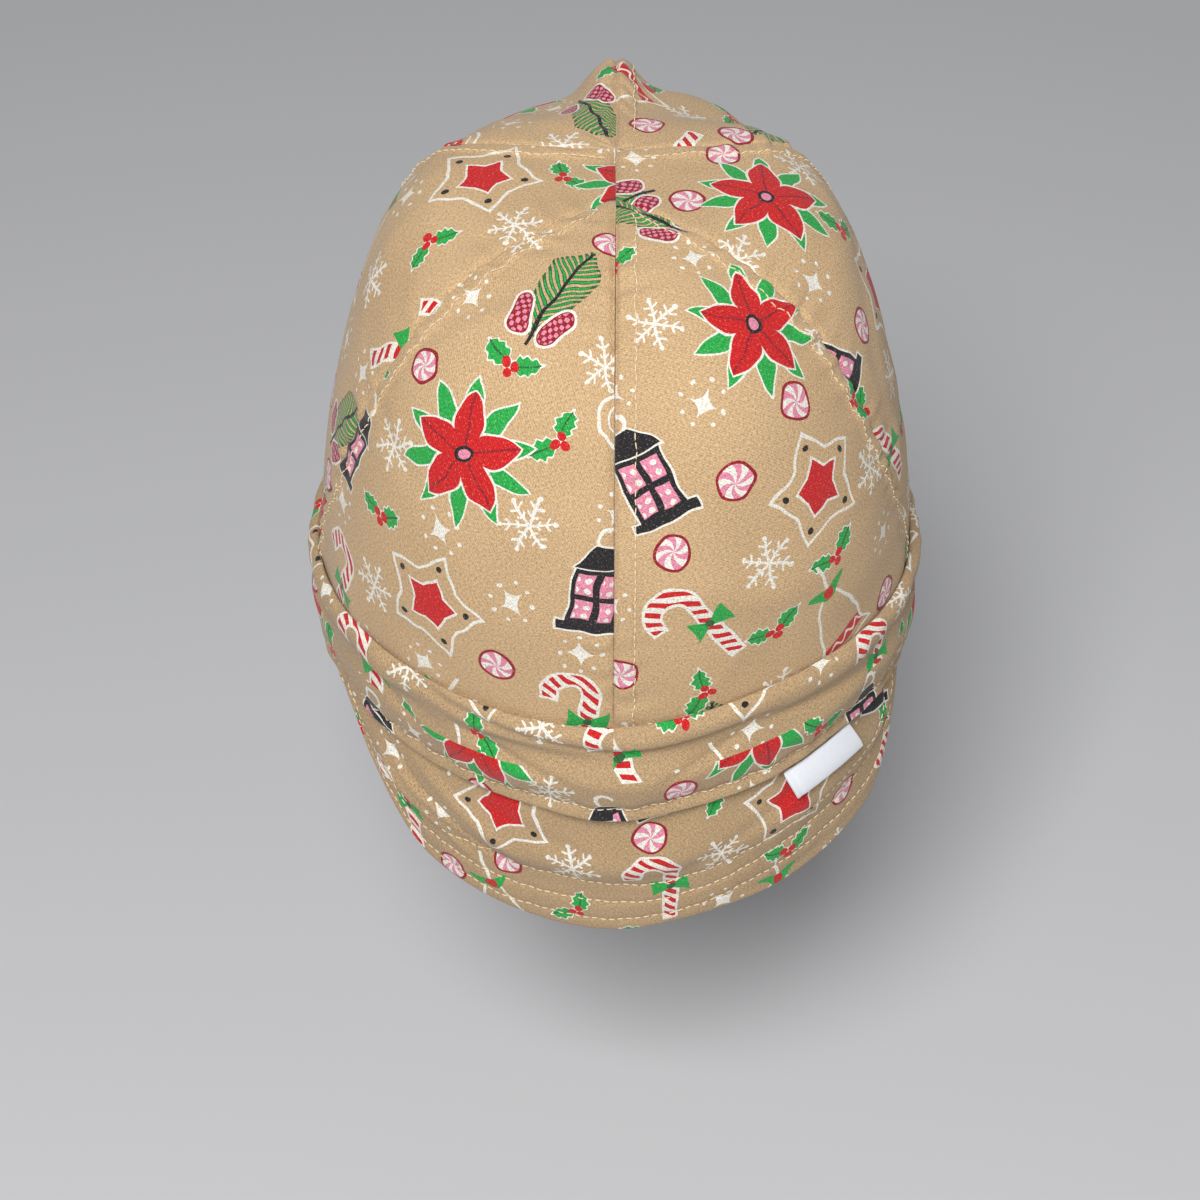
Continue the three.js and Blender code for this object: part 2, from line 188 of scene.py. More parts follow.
class Board:
    """A material's node tree, filled by expressions."""

    def __init__(self, name: str) -> None:
        """Makes an empty material of this name."""
        self.material = bpy.data.materials.new(name)
        self.material.use_nodes = True
        self.tree = self.material.node_tree
        self.tree.nodes.clear()

    def node(self, kind: str, settings: dict | None = None, inputs: dict | None = None) -> bpy.types.Node:
        """Adds a node.

        Args:
            kind: The node's type name.
            settings: Properties to set first, such as an operation.
            inputs: Values or wires for its sockets, by name or number.

        Returns:
            The node.
        """
        node = self.tree.nodes.new(kind)
        for key, value in (settings or {}).items():
            setattr(node, key, value)
        for key, value in (inputs or {}).items():
            if isinstance(value, Wire):
                self.tree.links.new(value.socket, node.inputs[key])
            else:
                node.inputs[key].default_value = value
        return node

    def wire(
        self, kind: str, settings: dict | None = None, inputs: dict | None = None, out: int | str = 0
    ) -> Wire:
        """Adds a node and returns one of its outputs as a wire."""
        return Wire(self, self.node(kind, settings, inputs).outputs[out])

    def maths(self, operation: str, *values: object) -> Wire:
        """Adds a Math node."""
        return self.wire("ShaderNodeMath", {"operation": operation}, dict(enumerate(values)))

    def space(self, operation: str, *values: object) -> Wire:
        """Adds a Vector Math node; distances, lengths and dot products come out as values."""
        out = "Value" if operation in ("DISTANCE", "LENGTH", "DOT_PRODUCT") else "Vector"
        return self.wire("ShaderNodeVectorMath", {"operation": operation}, dict(enumerate(values)), out)

    def split(self, vector: Wire) -> tuple[Wire, Wire]:
        """The first two parts of a vector."""
        parts = self.node("ShaderNodeSeparateXYZ", {}, {0: vector}).outputs
        return Wire(self, parts[0]), Wire(self, parts[1])

    def join(self, x: Wire, y: Wire, z: float = 0.0) -> Wire:
        """A vector of these parts."""
        return self.wire("ShaderNodeCombineXYZ", {}, {0: x, 1: y, 2: z})

    def scale(self, vector: object, size: Wire | float) -> Wire:
        """A vector times a number."""
        return self.wire("ShaderNodeVectorMath", {"operation": "SCALE"}, {0: vector, "Scale": size}, "Vector")

    def paint(self, under: object, mask: Wire | float, over: object, way: str = "MIX") -> Wire:
        """Lays a colour over another where the mask is 1."""
        settings = {"data_type": "RGBA", "clamp_factor": True, "blend_type": way}
        return self.wire("ShaderNodeMix", settings, {0: mask, 6: under, 7: over}, 2)

    def cloth(self) -> Wire:
        """The place on the cloth as cut, in millimetres."""
        drawn = self.wire("ShaderNodeUVMap", {"uv_map": CLOTH_MAP})
        return self.space("MULTIPLY", drawn, (1 / MM, 1 / MM, 0.0))

    def noise(
        self, place: Wire, scale: float = 1.0, detail: float = 2.0, out: int = 0, kind: str = "2D"
    ) -> Wire:
        """Adds a noise: output 0 is its value and output 1 its colour."""
        inputs = {"Vector": place, "Scale": scale, "Detail": detail}
        return self.wire("ShaderNodeTexNoise", {"noise_dimensions": kind}, inputs, out)

    def bump(self, height: Wire, strength: float, distance: float) -> Wire:
        """Turns a height into a normal; the distance is in millimetres."""
        inputs = {"Height": height, "Strength": strength, "Distance": distance * MM}
        return self.wire("ShaderNodeBump", {}, inputs)

    def surface(self, inputs: dict) -> Material:
        """Ends the tree with a shader of these inputs, and returns the material."""
        shader = self.wire("ShaderNodeBsdfPrincipled", {}, inputs)
        self.node("ShaderNodeOutputMaterial", {}, {"Surface": shader})
        return self.material


class Ink(Enum):
    """The print's colours, linear."""

    WHITE = (0.74, 0.71, 0.63, 1.0)
    RED = (0.52, 0.012, 0.014, 1.0)
    WINE = (0.27, 0.012, 0.02, 1.0)
    GREEN = (0.018, 0.33, 0.06, 1.0)
    PINE = (0.022, 0.115, 0.035, 1.0)
    COAL = (0.016, 0.015, 0.018, 1.0)
    PINK = (0.66, 0.23, 0.33, 1.0)


class Spot:
    """Where a point of the cloth lies in a motif's own square, in millimetres."""

    def __init__(self, board: Board, at: Wire) -> None:
        """Splits the place into its parts; side is its distance from the upright middle."""
        self.board = board
        self.at = at
        self.x, self.y = board.split(at)
        self.side = abs(self.x)

    def mirrored(self) -> Wire:
        """The point folded over to the right half."""
        return self.board.join(self.side, self.y)

    def disc(self, x: float, y: float, radius: float, fold: bool = False) -> Wire:
        """Distance outside a disc, or outside a mirrored pair of them."""
        place = self.mirrored() if fold else self.at
        return self.board.space("DISTANCE", place, (x, y, 0.0)) - radius

    def rod(self, a: tuple[float, float], b: tuple[float, float], wide: float, end: float) -> Wire:
        """Distance outside a mirrored pair of rods that taper from a to b.

        Args:
            a: One end of the right rod.
            b: Its other end.
            wide: Radius at a.
            end: Radius at b.

        Returns:
            The distance as a wire.
        """
        board = self.board
        run = (b[0] - a[0], b[1] - a[1], 0.0)
        off = board.space("SUBTRACT", self.mirrored(), (*a, 0.0))
        share = (board.space("DOT_PRODUCT", off, run) / (run[0] ** 2 + run[1] ** 2)).most(0.0).least(1.0)
        return board.space("DISTANCE", off, board.scale(run, share)) - (wide + share * (end - wide))

    def block(self, x: float, y: float, half: float, tall: float) -> Wire:
        """Distance outside an upright block with this centre and these half sides."""
        return (abs(self.x - x) - half).most(abs(self.y - y) - tall)

    def rays(self, count: int) -> tuple[Wire, Wire]:
        """The point turned into one of a rosette's equal sectors: outwards and sideways."""
        radius = self.board.space("LENGTH", self.at)
        step = 2.0 * math.pi / count
        turn = self.x.do("ARCTAN2", self.y) / step
        off = abs(turn - turn.do("ROUND")) * step
        return radius * off.do("COSINE"), radius * off.do("SINE")

    def check(self, pitch: float) -> Wire:
        """Waves across and up, multiplied: a soft check between -1 and 1."""
        return (self.y * pitch).do("SINE") * (self.x * pitch).do("SINE")


Layers = list[tuple[Wire, Ink]]


def bead(out: Wire, across: Wire, middle: float, size: float) -> Wire:
    """1 inside a bead on a rosette's ray; size is its radius squared."""
    return (out - middle).squared() + across.squared() < size


def petal_edge(out: Wire, across: Wire, middle: float, half: float, wide: float) -> Wire:
    """Distance outside a pointed petal that lies along a ray."""
    return across - (1.0 - ((out - middle) / half).squared()) * wide


class Motif:
    """A printed figure; a subclass says what it is painted with."""

    def layers(self, spot: Spot) -> Layers:
        """The figure's masks and their inks, the lowest first."""
        raise NotImplementedError

    def draw(self, spot: Spot, under: Wire) -> Wire:
        """Lays the figure over the colour under it."""
        for mask, ink in self.layers(spot):
            under = spot.board.paint(under, mask, ink.value)
        return under


class Bell(Motif):
    """An outlined bell with a wide rim, a clapper and two leaves."""

    def layers(self, spot: Spot) -> Layers:
        """The clapper, the rim's bar and its wavy line, the outline, the leaves and a berry."""
        fall = 13.0 - spot.y
        dome = (fall / 8.0).most(0.0).do("POWER", 0.35) * 5.6
        flare = (fall / 26.0).most(0.0).do("POWER", 7.0) * 2.8
        shell = (spot.side - dome - flare).most(-13.0 - spot.y)
        bar = spot.y + 8.0
        return [
            (spot.disc(0.0, -14.6, 2.8) < 0.0, Ink.RED),
            ((abs(bar) < 2.2) * (shell < 0.0), Ink.RED),
            ((abs(bar - (spot.x * 1.3).do("SINE")) < 0.5) * (shell < 0.0), Ink.WHITE),
            (abs(shell) < 0.5, Ink.WHITE),
            (spot.rod((1.0, 13.2), (6.0, 15.6), 2.0, 0.6) < 0.0, Ink.GREEN),
            (spot.disc(0.0, 13.2, 1.8) < 0.0, Ink.RED),
        ]


class IcedStar(Motif):
    """A five-pointed star: an iced line, dots in its points and a filled star inside."""

    def layers(self, spot: Spot) -> Layers:
        """The iced line, the inner star with its rim, and the dots."""
        out, across = spot.rays(5)
        edge = out * 0.62 + across * 0.78 - 9.6
        return [
            (abs(edge) < 0.44, Ink.WHITE),
            (edge < -4.6, Ink.RED),
            (abs(edge + 4.6) < 0.3, Ink.WHITE),
            (bead(out, across, 11.2, 0.9), Ink.COAL),
        ]


class Flower(Motif):
    """A winter flower: pointed petals over green leaves, with a beaded heart."""

    def layers(self, spot: Spot) -> Layers:
        """The leaves, the petals and their veins, and the heart."""
        out, across = spot.rays(5)
        leaf = petal_edge(*spot.rays(10), 11.0, 7.6, 2.3)
        petal = petal_edge(out, across, 7.6, 7.4, 4.1)
        return [
            (leaf < 0.5, Ink.WHITE),
            (leaf < 0.0, Ink.GREEN),
            (petal < 0.6, Ink.WHITE),
            (petal < 0.0, Ink.RED),
            ((petal < -0.5) * (across < 0.3), Ink.WINE),
            (spot.disc(0.0, 0.0, 2.4) < 0.0, Ink.COAL),
            (spot.disc(0.0, 0.0, 1.5) < 0.0, Ink.PINK),
        ]


class Sprig(Motif):
    """A fir sprig with two cones."""

    def layers(self, spot: Spot) -> Layers:
        """The needles in two greens, the stem, and the cones with their scales and outline."""
        reach = (17.0 - abs(spot.y)).least(8.5) * (spot.y * 0.02 + 0.75)
        comb = abs(((spot.y - spot.side * 0.9) / 2.1).do("FRACT") - 0.5)
        cone = spot.rod((4.4, -11.5), (6.4, -5.6), 3.0, 2.2)
        return [
            ((comb < 0.3) * (spot.side < reach) * (spot.y > -13.0), Ink.PINE),
            ((comb < 0.14) * (spot.side < reach - 1.2) * (spot.y > -12.0), Ink.GREEN),
            ((spot.side < 0.5) * (abs(spot.y) < 16.0), Ink.COAL),
            (cone < 0.0, Ink.WINE),
            ((cone < -0.4) * (spot.check(2.6) > 0.1), Ink.PINK),
            (abs(cone - 0.3) < 0.35, Ink.WHITE),
        ]


class Cane(Motif):
    """A striped sugar cane with a bow."""

    def layers(self, spot: Spot) -> Layers:
        """The cane, its stripes, and the bow with its knot."""
        hook = (spot.y - 7.5).most(0.0)
        ring = spot.board.space("LENGTH", spot.board.join(spot.x, hook)) - 5.6
        foot = (spot.x < 0.0) * 20.0 - 15.5
        stick = (abs(ring) - 2.1).most(foot - spot.y)
        stripes = ((spot.y + spot.x * 0.7) / 3.6).do("FRACT") < 0.5
        wing = abs(spot.x - 5.6)
        bow = (abs(spot.y + 1.0) - wing * 0.55 - 0.5).most(wing - 5.4)
        return [
            (stick < 0.5, Ink.WHITE),
            ((stick < -0.25) * stripes, Ink.RED),
            (bow < 0.0, Ink.GREEN),
            (spot.disc(5.6, -1.0, 1.3) < 0.0, Ink.PINE),
        ]


class Lantern(Motif):
    """A dark lantern with four panes and a ring to carry it by."""

    def layers(self, spot: Spot) -> Layers:
        """The ring, the lantern and its outline, and the panes with their glow."""
        roof = (spot.side + spot.y * 0.75 - 10.9).most(4.6 - spot.y).most(spot.y - 11.0)
        case = spot.block(0.0, -4.4, 6.6, 8.6).least(roof).least(spot.block(0.0, -13.6, 8.6, 1.3))
        pane = (abs(spot.side - 3.1) - 2.2).most(abs(abs(spot.y + 4.4) - 4.0) - 3.1)
        glow = ((spot.y * 2.2).do("SINE") + (spot.x * 2.2).do("SINE")) > 0.7
        return [
            (abs(spot.disc(0.0, 13.4, 2.8)) < 0.5, Ink.WHITE),
            (case < 0.55, Ink.WHITE),
            (case < 0.0, Ink.COAL),
            (pane < 0.0, Ink.PINK),
            ((pane < -0.3) * glow, Ink.WHITE),
        ]


class IcedHeart(Motif):
    """A heart in two iced lines with a filled middle."""

    def layers(self, spot: Spot) -> Layers:
        """The two lines, and the middle with its dots."""
        form = spot.rod((5.4, 4.6), (0.0, -10.0), 7.6, 1.8)
        return [
            (abs(form) < 0.44, Ink.WHITE),
            (abs(form + 2.6) < 0.26, Ink.WHITE),
            (form < -4.6, Ink.RED),
            ((form < -4.8) * (spot.check(1.8) > 0.6), Ink.WHITE),
        ]


class Crystal(Motif):
    """A six-armed snow crystal."""

    def layers(self, spot: Spot) -> Layers:
        """The arms, their two pairs of barbs and the beads at their ends."""
        out, across = spot.rays(6)
        shape = (across - 0.36).most(out - 7.0)
        for middle, reach in ((4.4, 1.9), (2.3, 1.3)):
            shape = shape.least((abs(out - across * 0.58 - middle) - 0.34).most(across - reach))
        return [((shape < 0.0).most(bead(out, across, 7.0, 0.5)), Ink.WHITE)]


class Holly(Motif):
    """Two leaves and three berries."""

    def layers(self, spot: Spot) -> Layers:
        """The leaves with their outline and vein, and the berries."""
        along = spot.side * 0.92 + spot.y * 0.38
        across = abs(spot.y * 0.92 - spot.side * 0.38)
        off = (along - 4.4) / 4.3
        leaf = across - ((1.0 - off.squared()) * 2.3 + (along * 2.9).do("SINE") * 0.35)
        leaf = leaf.most(abs(off) - 1.0)
        berries = spot.disc(1.35, 0.5, 1.25, True).least(spot.disc(0.0, -1.6, 1.25))
        return [
            (leaf < 0.45, Ink.WHITE),
            (leaf < 0.0, Ink.GREEN),
            ((leaf < 0.0) * (across < 0.22), Ink.PINE),
            (berries < 0.0, Ink.RED),
        ]


class Sweet(Motif):
    """A round swirled sweet."""

    def layers(self, spot: Spot) -> Layers:
        """The sweet, its swirl and its rim."""
        disc = spot.disc(0.0, 0.0, 4.6)
        swirl = (spot.x.do("ARCTAN2", spot.y) / (math.pi / 3.0) + disc * 0.16).do("FRACT") < 0.5
        return [(disc < 0.0, Ink.WHITE), ((disc < 0.0) * swirl, Ink.PINK), (abs(disc) < 0.4, Ink.WINE)]


class Sparkle(Motif):
    """A four-pointed glint inside a ring of dots."""

    def layers(self, spot: Spot) -> Layers:
        """The glint and its dots."""
        glint = spot.side.do("POWER", 0.6) + abs(spot.y).do("POWER", 0.6) < 2.35
        return [(glint.most(bead(*spot.rays(8), 5.6, 0.34)), Ink.WHITE)]


@dataclass(frozen=True)
class Toss:
    """A tossed layout: one motif to a cell, each column dropped against the last."""

    wide: float
    tall: float
    drop: float
    shift: tuple[float, float]
    sway: float
    spin: float
    motifs: tuple[Motif, ...]

    def lay(self, board: Board, cloth: Wire, under: Wire) -> Wire:
        """Prints the layout on the cloth.

        Args:
            board: The material's nodes.
            cloth: The place on the cloth in millimetres.
            under: The colour so far.

        Returns:
            The printed colour.
        """
        x, y = board.split(cloth)
        across = (x + self.shift[0]) / self.wide
        column = across.do("FLOOR")
        up = (y + self.shift[1]) / self.tall + column * self.drop
        row = up.do("FLOOR")
        cell = board.join(column, row, self.wide)
        chance = board.node("ShaderNodeTexWhiteNoise", {"noise_dimensions": "3D"}, {0: cell})
        wander = board.space("SUBTRACT", Wire(board, chance.outputs[1]), (0.5, 0.5, 0.5))
        place = board.join((across - column - 0.5) * self.wide, (up - row - 0.5) * self.tall)
        nudge = board.space("MULTIPLY", board.scale(wander, self.sway), (1.0, 1.0, 0.0))
        turned = {
            "Vector": board.space("SUBTRACT", place, nudge),
            "Angle": (Wire(board, chance.outputs[0]) - 0.5) * self.spin,
        }
        spot = Spot(board, board.wire("ShaderNodeVectorRotate", {"rotation_type": "Z_AXIS"}, turned))
        count = len(self.motifs)
        kind = ((column * 3.0 + row) / count).do("FRACT") * count
        tint = under
        for number, motif in enumerate(self.motifs):
            chosen = abs(kind - number) < 0.5
            if number == 0:
                chosen = chosen.most(kind > count - 0.5)
            tint = board.paint(tint, chosen, motif.draw(spot, under))
        return tint


# Finishes


@dataclass(frozen=True)
class PrintedCotton:
    """Cotton twill with a tossed print; the reverse shows it only faintly.

    Lengths are millimetres of cloth. The ink is thinner where a yarn stands higher than bare_from.
    """

    ground: Colour = (0.53, 0.36, 0.196, 1.0)
    shade: Colour = (0.43, 0.285, 0.15, 1.0)
    yarn: float = 0.36
    slub: float = 0.45
    rib: float = 2.4
    mottle: float = 0.8
    mottle_scale: float = 0.035
    wander: float = 1.6
    wander_scale: float = 0.16
    bare_from: float = 0.59
    bareness: float = 2.0
    weave_shading: float = 1.7
    relief: float = 0.35
    tosses: tuple[Toss, ...] = (
        Toss(42.0, 45.0, 0.5, (0.0, 22.5), 2.0, 3.0, (Sparkle(), Holly(), Sweet(), Sparkle())),
        Toss(42.0, 22.5, 0.0, (21.0, 0.0), 2.6, 3.0, (Crystal(), Holly(), Crystal(), Sweet(), Sparkle())),
        Toss(
            42.0, 45.0, 0.5, (0.0, 0.0), 3.4, 0.95,
            (Bell(), IcedStar(), Flower(), Sprig(), Cane(), Lantern(), IcedHeart()),
        ),
    )

    def yarns(self, board: Board, cloth: Wire) -> Wire:
        """The woven surface: warp and weft slubs and a fine diagonal rib, from 0 to 1."""
        close, loose = 1.0 / self.yarn, self.slub / self.yarn
        warp = board.noise(board.space("MULTIPLY", cloth, (close, loose, 1.0)), detail=1.0)
        weft = board.noise(board.space("MULTIPLY", cloth, (loose, close, 1.0)), detail=1.0)
        x, y = board.split(cloth)
        rib = ((x + y) * (2.0 * math.pi / (self.rib * self.yarn))).do("SINE")
        return warp * 0.45 + weft * 0.45 + (rib * 0.05 + 0.05)

    def material(self, name: str, strength: float = 1.0) -> Material:
        """Makes the finish.

        Args:
            name: The material's name.
            strength: How strongly the print shows.

        Returns:
            The material.
        """
        board = Board(name)
        cloth = board.cloth()
        yarns = self.yarns(board, cloth)
        cloud = board.noise(cloth, self.mottle_scale)
        plain = board.paint(self.ground, (cloud - 0.35) * self.mottle, self.shade)
        shaky = board.noise(cloth, self.wander_scale, 0.0, 1)
        shift = board.space("SUBTRACT", shaky, (0.5, 0.5, 0.5))
        drawn = board.space("ADD", cloth, board.space("MULTIPLY", shift, (self.wander, self.wander, 0.0)))
        printed = plain
        for toss in self.tosses:
            printed = toss.lay(board, drawn, printed)
        cover = (1.0 - (yarns - self.bare_from).most(0.0) * self.bareness) * strength
        # Painted highlight and shade of the weave: yarn tops are painted lighter and the hollows between
        # yarns darker, by the yarn height that also drives the bump.
        light = (yarns - 0.5) * self.weave_shading + 1.0
        grey = board.wire("ShaderNodeCombineColor", {}, {0: light, 1: light, 2: light})
        return board.surface(
            {
                "Base Color": board.paint(board.paint(plain, cover, printed), 1.0, grey, "MULTIPLY"),
                "Roughness": 0.88,
                "Normal": board.bump(yarns, 0.7, self.relief),
                "Sheen Weight": 0.12,
                "Sheen Roughness": 0.5,
                "Specular IOR Level": 0.25,
            }
        )


@dataclass(frozen=True)
class Thread:
    """Matt sewing thread with its twist."""

    colour: Colour = (0.77, 0.62, 0.42, 1.0)
    twist: Colour = (0.58, 0.45, 0.28, 1.0)

    def material(self, name: str) -> Material:
        """Makes the finish."""
        board = Board(name)
        fleck = board.noise(board.wire("ShaderNodeTexCoord", {}, {}, "Object"), 900.0, kind="3D")
        tint = board.paint(self.colour, (fleck - 0.4) * 0.9, self.twist)
        return board.surface({"Base Color": tint, "Roughness": 0.7, "Normal": board.bump(fleck, 0.5, 0.1)})


@dataclass(frozen=True)
class Satin:
    """Smooth woven ribbon with fine ribs along it."""

    colour: Colour = (0.74, 0.76, 0.80, 1.0)
    shade: Colour = (0.6, 0.62, 0.66, 1.0)
    ribs: tuple[float, float, float] = (0.6, 9.0, 1.0)

    def material(self, name: str) -> Material:
        """Makes the finish."""
        board = Board(name)
        rib = board.noise(board.space("MULTIPLY", board.cloth(), self.ribs))
        return board.surface(
            {
                "Base Color": board.paint(self.colour, (rib - 0.4) * 0.5, self.shade),
                "Roughness": rib * 0.15 + 0.36,
                "Normal": board.bump(rib, 0.35, 0.1),
                "Sheen Weight": 0.2,
            }
        )


# Mesh work


def deselect() -> None:
    """Leaves nothing selected, in object mode."""
    if bpy.context.mode != "OBJECT":
        bpy.ops.object.mode_set(mode="OBJECT")
    bpy.ops.object.select_all(action="DESELECT")


def take(piece: Object) -> None:
    """Makes a piece the only selected and active object."""
    deselect()
    piece.select_set(True)
    bpy.context.view_layer.objects.active = piece


def edit(piece: Object, *steps: Callable[[], object]) -> None:
    """Runs steps in edit mode, each on the whole mesh."""
    take(piece)
    bpy.ops.object.mode_set(mode="EDIT")
    for step in steps:
        bpy.ops.mesh.select_all(action="SELECT")
        step()
    bpy.ops.object.mode_set(mode="OBJECT")


def corners(piece: Object) -> Array:
    """The piece's vertices as an array."""
    flat = np.empty(len(piece.data.vertices) * 3)
    piece.data.vertices.foreach_get("co", flat)
    return flat.reshape(-1, 3)


def loop_corners(piece: Object) -> Array:
    """The vertex at each face corner."""
    found = np.empty(len(piece.data.loops), dtype=int)
    piece.data.loops.foreach_get("vertex_index", found)
    return found


def move_corners(piece: Object, places: Array) -> None:
    """Puts the piece's vertices at these places, in metres."""
    piece.data.vertices.foreach_set("co", np.ascontiguousarray(places, dtype=np.float32).ravel())
    piece.data.update()


def finish_with(piece: Object, kind: str, **settings: object) -> None:
    """Adds a modifier with these settings and applies it."""
    take(piece)
    modifier = piece.modifiers.new(kind.title(), kind)
    for key, value in settings.items():
        setattr(modifier, key, value)
    bpy.ops.object.modifier_apply(modifier=modifier.name)


def stand_in(piece: Object, node: str) -> None:
    """Softens a piece and puts it in the place of a CAD node."""
    finish_with(piece, "SUBSURF", levels=1, render_levels=1)
    take(piece)
    bpy.ops.object.shade_smooth()
    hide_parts(node)
    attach(piece, BODY)


def write_map(piece: Object, per_corner: Array) -> None:
    """Keeps one UV map, in metres of cloth, with these face-corner values."""
    layers = piece.data.uv_layers
    while len(layers) > 1:
        layers.remove(layers[-1])
    if not layers:
        layers.new(name=CLOTH_MAP)
    layers[0].name = CLOTH_MAP
    layers[0].data.foreach_set("uv", np.ascontiguousarray(per_corner, dtype=np.float32).ravel())


@dataclass
class Weft:
    """A four-sided sheet of cloth on a grid: shares run 0 to 1 across and up."""

    name: str
    columns: int
    rows: int
    piece: Object = field(init=False)
    across: Array = field(init=False)
    up: Array = field(init=False)
    order: Array = field(init=False)
    flat: tuple[float, float] = field(init=False)

    def __post_init__(self) -> None:
        """Adds the flat grid and notes each vertex's share across and up."""
        deselect()
        bpy.ops.mesh.primitive_grid_add(x_subdivisions=self.columns, y_subdivisions=self.rows, size=1.0)
        self.piece = bpy.context.active_object
        self.piece.name = self.piece.data.name = self.name
        flat = corners(self.piece)
        shape = (self.rows + 1, self.columns + 1)
        column = np.rint((flat[:, 0] + 0.5) * self.columns).astype(int)
        row = np.rint((flat[:, 1] + 0.5) * self.rows).astype(int)
        self.order = np.empty(shape, dtype=int)
        self.order[row, column] = np.arange(len(flat))
        self.across = np.broadcast_to(np.linspace(0.0, 1.0, shape[1]), shape)
        self.up = np.broadcast_to(np.linspace(0.0, 1.0, shape[0])[:, None], shape)

    def shape(self, places: Array) -> None:
        """Moves the grid to an array of places, rows by columns, in millimetres."""
        flat = np.empty((self.order.size, 3))
        flat[self.order.ravel()] = places.reshape(-1, 3)
        move_corners(self.piece, flat * MM)

    def map_cloth(self, flat_places: Array) -> None:
        """Lays the cloth's UV map from an array of flat places, in millimetres."""
        flat = np.empty((self.order.size, 2))
        flat[self.order.ravel()] = flat_places.reshape(-1, 2)
        write_map(self.piece, flat[loop_corners(self.piece)] * MM)

    def unwrap(self, offset: tuple[float, float]) -> None:
        """Flattens the cloth as cut, at its real size and upright, and lays the map from it.

        Args:
            offset: Where the print starts on this piece, in millimetres.
        """
        edit(self.piece, lambda: bpy.ops.uv.unwrap(method="CONFORMAL", margin=0.0))
        data = self.piece.data
        uv = np.empty(len(data.loops) * 2)
        data.uv_layers[0].data.foreach_get("uv", uv)
        at = np.empty((len(data.vertices), 2))
        at[loop_corners(self.piece)] = uv.reshape(-1, 2)
        grid = at[self.order]
        grid = grid * (thread_length(corners(self.piece)[self.order] / MM) / thread_length(grid))
        middle = self.columns // 2
        rise = grid[int(self.rows * 0.7), middle] - grid[int(self.rows * 0.1), middle]
        angle = math.pi / 2 - math.atan2(rise[1], rise[0])
        spin = np.array([[math.cos(angle), -math.sin(angle)], [math.sin(angle), math.cos(angle)]])
        grid = (grid - grid[0, middle]) @ spin.T
        if grid[self.rows // 3, -1, 0] < grid[self.rows // 3, 0, 0]:
            grid[..., 0] *= -1.0
        self.map_cloth(grid + np.array(offset))
        size = np.ptp(grid.reshape(-1, 2), axis=0)
        self.flat = (float(size[0]) * MM, float(size[1]) * MM)


def grid_facing(places: Array) -> Array:
    """The outward unit normals of a grid of places, rows by columns."""
    return unit(np.cross(np.gradient(places, axis=1), np.gradient(places, axis=0)))


def run_lengths(places: Array, axis: int) -> Array:
    """Distance along an axis of a grid of places, from its start."""
    steps = np.linalg.norm(np.diff(places, axis=axis), axis=-1)
    total = np.cumsum(steps, axis=axis)
    first = np.zeros_like(np.take(total, [0], axis=axis))
    return np.concatenate([first, total], axis=axis)


def thread_length(grid: Array) -> float:
    """The length of all of a grid's lines, both ways."""
    return sum(np.linalg.norm(np.diff(grid, axis=axis), axis=-1).sum() for axis in (0, 1))


def read_path(at: float, run: Array, values: Array) -> Array:
    """What a path's values are at a distance along it."""
    return np.array([np.interp(at, run, values[:, axis]) for axis in range(3)])


def area_of(piece: Object) -> float:
    """The piece's whole surface in square metres."""
    return float(sum(p.area for p in piece.data.polygons))


@dataclass
class Stitches:
    """Rows of straight machine stitches along paths on the cloth, in millimetres.

    Waist and tip are heights on a stitch of unit length, past which it bends down and narrows.
    """

    name: str
    length: float = 2.0
    pitch: float = 2.5
    thick: float = 0.36
    rise: float = 0.2
    margin: float = 0.8
    waist: float = 0.3
    tip: float = 0.45
    narrow: float = 0.55
    sink: float = 0.32

    def build(self, paths: Sequence[Path], material: Material) -> Object:
        """Makes the rows as one piece.

        Args:
            paths: For each row its points in millimetres and the cloth's normals there.
            material: The thread.

        Returns:
            The piece.
        """
        one, faces = self.model()
        sink = np.where(np.abs(one[:, 2]) > self.tip, -self.sink, 0.0)
        points, polygons = [], []
        for path, normals in paths:
            run = run_lengths(path, 0)
            for k in range(int((run[-1] - 1.0) // self.pitch)):
                start = self.margin + k * self.pitch
                ends = [read_path(start + d, run, path) for d in (0.0, self.length)]
                up = unit(read_path(start + self.length / 2, run, normals))
                along = ends[1] - ends[0]
                side = unit(np.cross(up, along))
                base = len(points) * len(one)
                points.append(
                    (ends[0] + ends[1]) / 2
                    + one[:, 2:3] * along
                    + one[:, 0:1] * self.thick * side
                    + (one[:, 1:2] * self.thick + self.rise + sink[:, None]) * up
                )
                polygons += [tuple(base + v for v in face) for face in faces]
        mesh = bpy.data.meshes.new(self.name)
        mesh.from_pydata((np.concatenate(points) * MM).tolist(), [], polygons)
        piece = bpy.data.objects.new(self.name, mesh)
        bpy.context.collection.objects.link(piece)
        mesh.materials.append(material)
        take(piece)
        bpy.ops.object.shade_smooth()
        edit(piece, lambda: bpy.ops.mesh.normals_make_consistent(inside=False))
        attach(piece, BODY)
        return piece

    def model(self) -> tuple[Array, list[tuple[int, ...]]]:
        """One stitch of unit size: its points, narrow at both ends, and its faces."""
        deselect()
        bpy.ops.mesh.primitive_cylinder_add(vertices=6, radius=0.5, depth=1.0, end_fill_type="NGON")
        stitch = bpy.context.active_object
        cuts = [
            lambda z=z: bpy.ops.mesh.bisect(plane_co=(0, 0, z), plane_no=(0, 0, 1))
            for z in (self.waist, -self.waist)
        ]
        edit(stitch, *cuts)
        points = corners(stitch)
        faces = [tuple(p.vertices) for p in stitch.data.polygons]
        bpy.data.objects.remove(stitch)
        points[np.abs(points[:, 2]) > self.tip, :2] *= self.narrow
        return points, faces


# The cap's form


